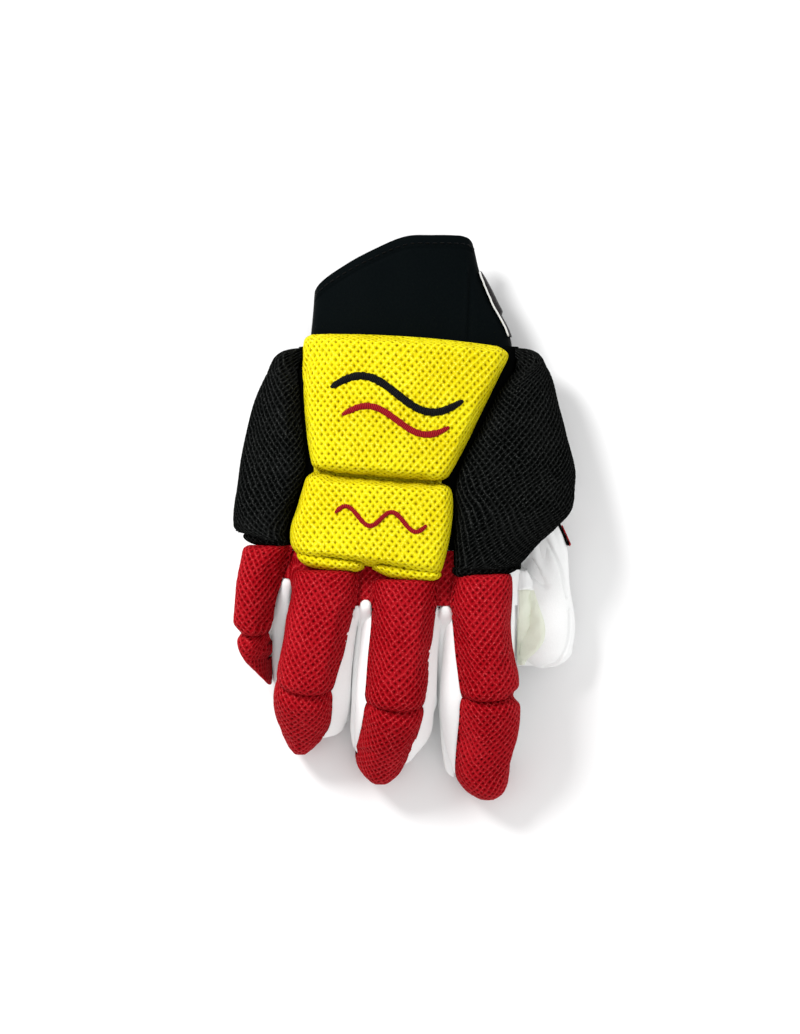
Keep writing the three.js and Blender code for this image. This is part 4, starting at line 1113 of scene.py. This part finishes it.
# ---- Leather between the fingers and on the thumb ----
WALLS = {  # the leather sides of fingers that show beside their foam: rows of y, left, right and z
    "little_ring_wall_leather": [
        (-25.6, -54.8, -49.6, 36), (-30, -55.7, -49.8, 34), (-35, -57.2, -50.6, 31.5), (-41, -58.5, -51.9, 27),
        (-48, -60, -53.1, 21), (-55, -59.8, -54.2, 14), (-62, -59.6, -55.6, 7.6), (-70, -59.4, -56.2, 4.2),
        (-74.6, -59.2, -56.8, 3.4)],
    "ring_right_wall_leather": [
        (-36.4, -24, -19.4, 45), (-40, -25, -19.6, 43), (-43, -25.6, -20.2, 39.5), (-46, -26, -20.8, 36.5),
        (-52, -27, -21.8, 34.4), (-60, -28.4, -22.8, 32.8), (-66, -30, -23.3, 30.8), (-72, -31.5, -23.6, 28),
        (-80, -32.7, -23.9, 20), (-85, -32.9, -24.2, 15), (-89, -31.5, -25.4, 11.5), (-91, -30.8, -27, 10)],
    "middle_left_wall_leather": [
        (-35.2, -20.2, -14.6, 46.8), (-38, -20.4, -14.6, 45.8), (-42, -20.6, -14.6, 41.5), (-45.6, -21, -14.8, 38),
        (-52, -22, -15.4, 36), (-60, -23, -16.2, 34.6), (-66, -23.5, -16.8, 33.4), (-72, -23.8, -17.3, 31.8),
        (-80, -24.1, -18, 28.6), (-85, -24.3, -18.5, 24.5), (-93, -24.6, -20.2, 16), (-98, -24.2, -21, 10.5),
        (-101.4, -23.4, -21.8, 7.5)],
    "middle_right_wall_leather": [
        (-37.8, 10.4, 14.6, 45.4), (-41, 10.6, 14.4, 42), (-44, 10.6, 14.1, 38.5), (-50, 10.3, 13.8, 35.8),
        (-60, 9.7, 13.6, 34), (-72, 8.9, 13.6, 31.4), (-81, 7.7, 13.5, 27.5), (-88, 6.6, 11.4, 20.5),
        (-95, 4.6, 8.2, 13.5), (-101, 2, 4.2, 8)],
    "index_left_wall_leather": [
        (-37.9, 14.2, 20.4, 46.6), (-42, 13.9, 21, 43), (-46, 13.9, 21.4, 38.5), (-54.6, 13.8, 22, 34.6),
        (-69, 13.9, 23.7, 30.4), (-81, 14, 24.5, 24.5), (-88.8, 14.9, 24.2, 19.5), (-97, 15.5, 23.6, 15),
        (-104, 16.2, 23, 11.5), (-111, 17.6, 22.8, 8.5), (-114.3, 19.6, 23, 7)],
}
for name, rows in WALLS.items():
    y = np.linspace(rows[0][0], rows[-1][0], int(abs(rows[-1][0] - rows[0][0]) / 0.6))
    row = Table("y left right z", rows, by="y")(y)
    part = tube(points((row.left + row.right) / 2, y, row.z), (row.right - row.left) / 2, 2.6, 30, power=2.4)
    co = part[0] + (0.2 * ripple(part[0], 9, len(name)))[:, None] * [0.5, 0.3, 1]
    tubes(name, [(co, part[1], part[2])], "white_leather")

GUSSET = Table("y left_z right_z", [
    (-22.4, 38.4, 25.5), (-30, 37.2, 25), (-38, 35.6, 24.4), (-46, 33, 23), (-55, 29, 21), (-65, 22.5, 17),
], by="y")


def gusset():
    """The leather that joins the index finger's side to the thumb."""
    y, share = np.meshgrid(np.linspace(-22.4, -65, 86), np.linspace(0, 1, 68), indexing="ij")
    x = lerp(45.0, 57.0, share)
    row = GUSSET(y)
    beyond = row.right_z + (row.left_z - row.right_z) * (1 - smoothstep(x, 46.6, 49.8))
    over_hand = hand_top(np.minimum(x, 49.8), np.clip(y, -38, -20)) + 0.5
    over_hand = lerp(over_hand, 24.5, smoothstep(x, 49.2, 54.5))
    z = lerp(beyond, over_hand, smoothstep(y, -56, -38)) - 5.0 * np.exp(-((x - 48.5) / 0.62) ** 2)
    outer = points(x, y, z)
    outer = outer + (0.25 * ripple(outer, 10, 61))[..., None] * [0, 0, 1]
    slab("thumb_gusset_leather", outer, outer - [0.2, 0, 1.0], "white_leather",
         rests_on=["index_stall", "thumb_stall"])
    return outer


THUMB_TOP = landscape(SURFACES["thumb_stall"], gusset())
THUMB_INNER = Table("y left right", [
    (-66.4, 49.8, 52.4), (-62.9, 49.6, 53.2), (-58.7, 49.3, 57.5), (-54.4, 49.2, 60.6), (-49.1, 49.1, 61.5),
    (-45.3, 49.1, 61), (-39.5, 49.1, 59.1), (-31.5, 49.3, 56.5), (-26.8, 49.6, 54.6), (-23.6, 50, 52.8),
    (-21.6, 50.4, 51.6),
], by="y")


def thumb_panel(name, material, start, end, puff, node=None, mottle=0.2):
    """A leather panel that laps over the thumb, seen as the photograph shows it from above."""
    y, s = np.meshgrid(np.linspace(start, end, int(abs(end - start) / 0.45)), np.linspace(0, 1, 46), indexing="ij")
    rows = THUMB_INNER(y)
    xy = np.stack([lerp(rows.left, rows.right, s), y], -1)
    base, normal = look_down(THUMB_TOP, xy)
    base[..., :2] = lerp(base[..., :2], xy, 0.7)
    ends = np.minimum(rounded(np.abs(y - start), 1.2), rounded(np.abs(y - end), 3.0))
    rise = rounded(inward(s) * (rows.right - rows.left), 2.2) * ends
    lump = puff * rise + 1.6 * rise * np.sin(np.pi * s) + mottle * ripple(base, 7, 5) * rise
    outer = base + normal * (0.15 + lump)[..., None]
    slab(name, outer, base - normal * 0.35, material, node, rests_on=["thumb_stall"])


thumb_panel("thumb_inner_leather", "white_leather", -31.8, -21.8, 1.5)
thumb_panel("thumb_patch_leather", "cream_leather", -31.0, -64.6, 1.2, "thumb_patch", 0.45)
THUMB_EDGES = {
    "thumb_edge_cloth": ([(66.6, -0.6, 22), (69, -5.5, 20), (71.8, -11.4, 18)], 0.9, "black_mesh"),
    "thumb_edge_trim": ([(68.4, -2.6, 18), (70.2, -6.5, 17.5), (72.6, -11.8, 16.5)], 0.8, "red_mesh"),
}
for name, (line, wide, slot) in THUMB_EDGES.items():
    tubes(name, [tube(resample(line, 0.5), wide, 3.0)], slot)


# ---- Hand shell ----
def shell_piece(name, node, slot, wall, angles, back, front, columns, rows, seed, rests_on, flap=0.0):
    """Half of the hand's tube with its lining, from one angle to another."""
    def grid(offset):
        angle = np.radians(np.linspace(*angles, columns))
        share = np.linspace(0, 1, rows)
        angle, share = np.meshgrid(angle, share)
        end = front if front is not None else front_of(hand_point(angle, FRONT_Y)[..., 0])
        y = lerp(back + flap * smoothstep(np.abs(np.cos(angle)), 0.72, 0.9), end, share)
        return hand_point(angle, y, offset + 1.2 * smoothstep(y, 68.6, 70.2))

    outer, inner = grid(0.0), grid(-wall)
    normal = normals_of(outer)
    side = np.sign(np.sum(normal * (outer - [-4, 20, 20])))
    rest = smoothstep(outer[..., 2], 0.3, 3.0)
    outer = outer + normal * side * (0.3 * (ripple(outer, 16, seed) - 0.9) * rest)[..., None]
    return slab(name, outer, inner, slot, node, rests_on=rests_on)


palm = shell_piece("palm_leather", "palm", "white_leather", LEATHER, (180.3, 359.7), WRIST_Y, None, 150, 120, 101,
                   [])
palm.data.materials.append(MATERIALS["cream_leather"])
middle = np.empty(len(palm.data.polygons) * 3, np.float32)
palm.data.polygons.foreach_get("center", middle)
middle = middle.reshape(-1, 3) * 1000 - SHIFT
patch = (((middle[:, :2] - PATCH_MIDDLE) / PATCH_HALF) ** 4).sum(1) < 1
palm.data.polygons.foreach_set("material_index", (patch & (middle[:, 2] < 22)).astype(np.int32))
ring = np.linspace(0, 2 * np.pi, 160)
under_palm = np.meshgrid(np.radians(np.linspace(182, 358, 240)), np.linspace(60, -37.6, 240))
under_palm = landscape(hand_point(*under_palm))
for name, size in (("palm_patch_stitches", 0.975), ("palm_patch_edge_stitches", 1.025)):
    xy = PATCH_MIDDLE + PATCH_HALF * size * np.stack(section(ring, 4), -1)
    line, out = look_down(under_palm, xy, from_below=True)
    line = line[line[:, 2] > 0.9], out[line[:, 2] > 0.9]
    tubes(name, stitch_row(line[0], line[1], 2.2, 1.0, 0.3), "white_thread")
shell_piece("back_panel_cloth", "back_panel", "black_fabric", FABRIC, (179.7, 0.3), WRIST_Y, KNUCKLE_Y, 90, 60, 102,
            ["palm"], flap=7.2)
knuckles = shell_piece("knuckle_panel_cloth", "knuckle_panel", "red_mesh", FABRIC, (179.7, 0.3), KNUCKLE_Y - GAP,
                       None, 220, 44, 103, ["palm"])
# Past the index finger the panel is black cloth behind and white leather in front.
for slot in ("black_mesh", "white_leather"):
    knuckles.data.materials.append(MATERIALS[slot])
for face in knuckles.data.polygons:
    x, y, _ = np.array(face.center) * 1000 - SHIFT
    if x > 44.4:
        face.material_index = 1 if y > -22.6 else 2


# ---- Cuff and strap ----
def cuff_outer(a, share):
    angle = 2 * np.pi * a
    y = lerp(CUFF_BACK_Y, cuff_end(angle), share)
    flat = cuff_point(angle, y)
    top = smoothstep(np.sin(angle), 0.1, 0.4)
    fold = smoothstep(y, 76, 82) * smoothstep(y, 114, 108) * top
    x = flat[..., 0] - 0.02 * (y - 95)
    soft = 0.55 * fold * (np.exp(-((x - 26.6) / 0.8) ** 2) - 0.9 * np.exp(-((x - 28.6) / 1.3) ** 2))
    soft = soft + 0.35 * ripple(flat, 26, 7) * smoothstep(y, 72, 80) * smoothstep(flat[..., 2], 3, 8) - 0.3
    hem = 0.35 * smoothstep(cuff_end(angle) - y, 6.0, 5.2) - 0.5 * np.exp(-((cuff_end(angle) - y - 5.6) / 0.4) ** 2)
    return cuff_point(angle, y, soft + hem * top - 0.4 * share ** 12)


def cuff_inner(a, share):
    angle = 2 * np.pi * a
    return cuff_point(angle, lerp(CUFF_BACK_Y, cuff_end(angle), share), -NEOPRENE + 0.4 * share ** 12)


shares = np.meshgrid(np.linspace(0, 1, 250, endpoint=False), np.linspace(0, 1, 80))
slab("cuff_cloth", cuff_outer(*shares), cuff_inner(*shares), "cuff", "cuff", rests_on=["palm"], wrap=True)


def strap_at(lift):
    """The strap over the cuff; by the thumb's side it is thin at both ends and swells between them."""
    def place(a, share):
        angle = np.radians(lerp(14, -150, a))
        front = np.minimum(109.5, cuff_end(angle) - 3)
        rear = np.maximum(73, front - STRAP_WIDE)
        y = lerp(rear, front, share)
        near_thumb = np.interp(y, [79, 90, 92, 100, 104, 107, 109.5], [0.35, 0.4, 1.45, 1.35, 1.1, 0.75, 0.2])
        swell = lerp(near_thumb, 1.0, smoothstep(a, 0.12, 0.3))
        return cuff_point(angle, y, STRAP_GAP * 0.6 + lift * swell)
    return place


shares = np.meshgrid(np.linspace(0, 1, 120), np.linspace(0, 1, 40))
slab("wrist_strap_cloth", strap_at(STRAP_THICK)(*shares), strap_at(0.0)(*shares), "strap", "wrist_strap",
     rests_on=["cuff"])

around = np.linspace(0.2, np.pi - 0.2, 160)
hem_line = cuff_point(around, cuff_end(around) - 3.6, 0.1)
hem_out = cuff_point(around, cuff_end(around) - 3.6, 1.1) - hem_line
hem_line[..., 2] = np.maximum(hem_line[..., 2], 0.4)
tubes("cuff_hem_stitches", stitch_row(hem_line, hem_out, 2.3, 1.0, 0.26), "black_thread")

share = np.linspace(0, 1, 40)
edge_line = strap_at(0.0)(np.full(40, 0.0), share)
edge_line[:, 0] += 0.1 + 0.12 * ripple(edge_line, 3.0, 8)
edge_line[:, 2] += 1.0
tubes("wrist_strap_piping", [tube(edge_line, 0.42, 0.5, 10)], "white_thread")
rows_of_stitches = []
for place_on_strap in (0.07, 0.93):
    a = np.linspace(0.1, 0.84, 90)
    line = strap_at(STRAP_THICK)(a, np.full(90, place_on_strap))
    out = strap_at(STRAP_THICK + 1)(a, np.full(90, place_on_strap)) - line
    keep = line[:, 2] > 0.7
    rows_of_stitches += stitch_row(line[keep], out[keep], 2.2, 1.0, 0.25)
tubes("wrist_strap_stitches", rows_of_stitches, "white_thread")


# ---- Thumb pad ----
def thumb_pad(s, t, lift):
    f = digit_frame(DIGITS["thumb"], lerp(1.3, 4.4, t))
    across, up = section(np.radians(lerp(-44, -112, s)), DIGIT_POWER)
    out = GAP + lift
    return placed(f, (f.half_width + out) * across, (f.half_height + out) * up)


cloth_piece("thumb_pad", thumb_pad, lambda s, t: 0.2 + 2.8 * rounded(inward(s), 0.3) * rounded(inward(t), 0.15),
            "black_mesh", 112, moves=False)


# ---- Yellow cloth between the back pads ----
line = resample([(-40.5, 21.1), (-20, 19.2), (0, 17.6), (15.5, 15.8)], 0.5)
a = np.linspace(-5.4, 5.4, 22)
xy = line[:, None] + np.stack([np.zeros_like(a), a], -1)[None]
outer = points(xy[..., 0], xy[..., 1], deck(xy[..., 0], xy[..., 1]) + 0.6)
slab("back_channel_cloth", outer, outer - [0, 0, 0.9], "yellow_mesh", rests_on=["back_panel"])


# ---- Embroidery ----
upper_top = landscape(SURFACES["back_pad_upper_cloth"])
lower_top = landscape(SURFACES["back_pad_lower_cloth"])


def wave(first, last, middle, slope, height, length):
    x = np.linspace(first, last, 40)
    return np.stack([x, middle + slope * (x - first) + height * np.sin(2 * np.pi * ((x - first) / length))], -1)


satin("embroidered_wave_black", upper_top, wave(-33, 25, 57.5, -0.10, 6.5, 58), 1.7, "black_thread")
satin("embroidered_wave_red", upper_top, wave(-28, 19, 45.5, -0.10, 5.0, 48), 1.45, "red_thread")
satin("embroidered_ripple_red", lower_top, wave(-31, 9, 2.6, -0.13, 3.6, 20), 1.0, "red_thread", 0.7, 3.0)


# ---- Surface it lies on, light and camera ----
def area_light(name, place, size, power):
    """A round light turned to the middle of the glove."""
    data = bpy.data.lights.new(name, "AREA")
    data.shape, data.size, data.energy = "DISK", size, power
    obj = bpy.data.objects.new(name, data)
    obj.location = place
    obj.rotation_mode = "QUATERNION"
    obj.rotation_quaternion = (Vector((0, 0, 0.03)) - Vector(place)).to_track_quat("-Z", "Y")
    bpy.context.scene.collection.objects.link(obj)


pale = Shader("pale_floor")
pale.set(color=pale.mix(pale.ramp(pale.noise(3, 3.0), 0.3, 0.7), (0.93, 0.93, 0.93), (0.9, 0.9, 0.9)),
         roughness=0.9, specular=0.1)
corners = np.array([(-3000, -3000, -0.15), (3000, -3000, -0.15), (3000, 3000, -0.15), (-3000, 3000, -0.15)])
make_mesh("floor", corners, [np.array([[0, 1, 2, 3]])], pale.material, solid=False)

world = bpy.data.worlds.new("studio")
bpy.context.scene.world = world
world.use_nodes = True
background = world.node_tree.nodes["Background"].inputs
background["Color"].default_value = (1, 1, 1, 1)
background["Strength"].default_value = 0.9
area_light("key", (-0.72, 0.78, 1.0), 0.45, 17)
area_light("fill", (0.8, -0.5, 1.2), 1.2, 1.5)

PIXEL = 0.44  # millimetres, at the height of the pads
FRAME_HIGH = 1034  # pixels
DISTANCE = 2.6  # metres, from the pads to the camera
camera_data = bpy.data.cameras.new("camera")
camera = bpy.data.objects.new("camera", camera_data)
camera_data.sensor_width = 36
camera_data.lens = 36 * DISTANCE / (FRAME_HIGH * PIXEL * 0.001)
# The photograph's middle is 6 pixels left of the tables' origin and 2 above it.
camera.location = ((SHIFT[0] - 6 * PIXEL) * 0.001, (SHIFT[1] + 2 * PIXEL) * 0.001, DISTANCE + 0.035)
bpy.context.scene.collection.objects.link(camera)
bpy.context.scene.camera = camera
bpy.context.scene.view_settings.view_transform = "Standard"
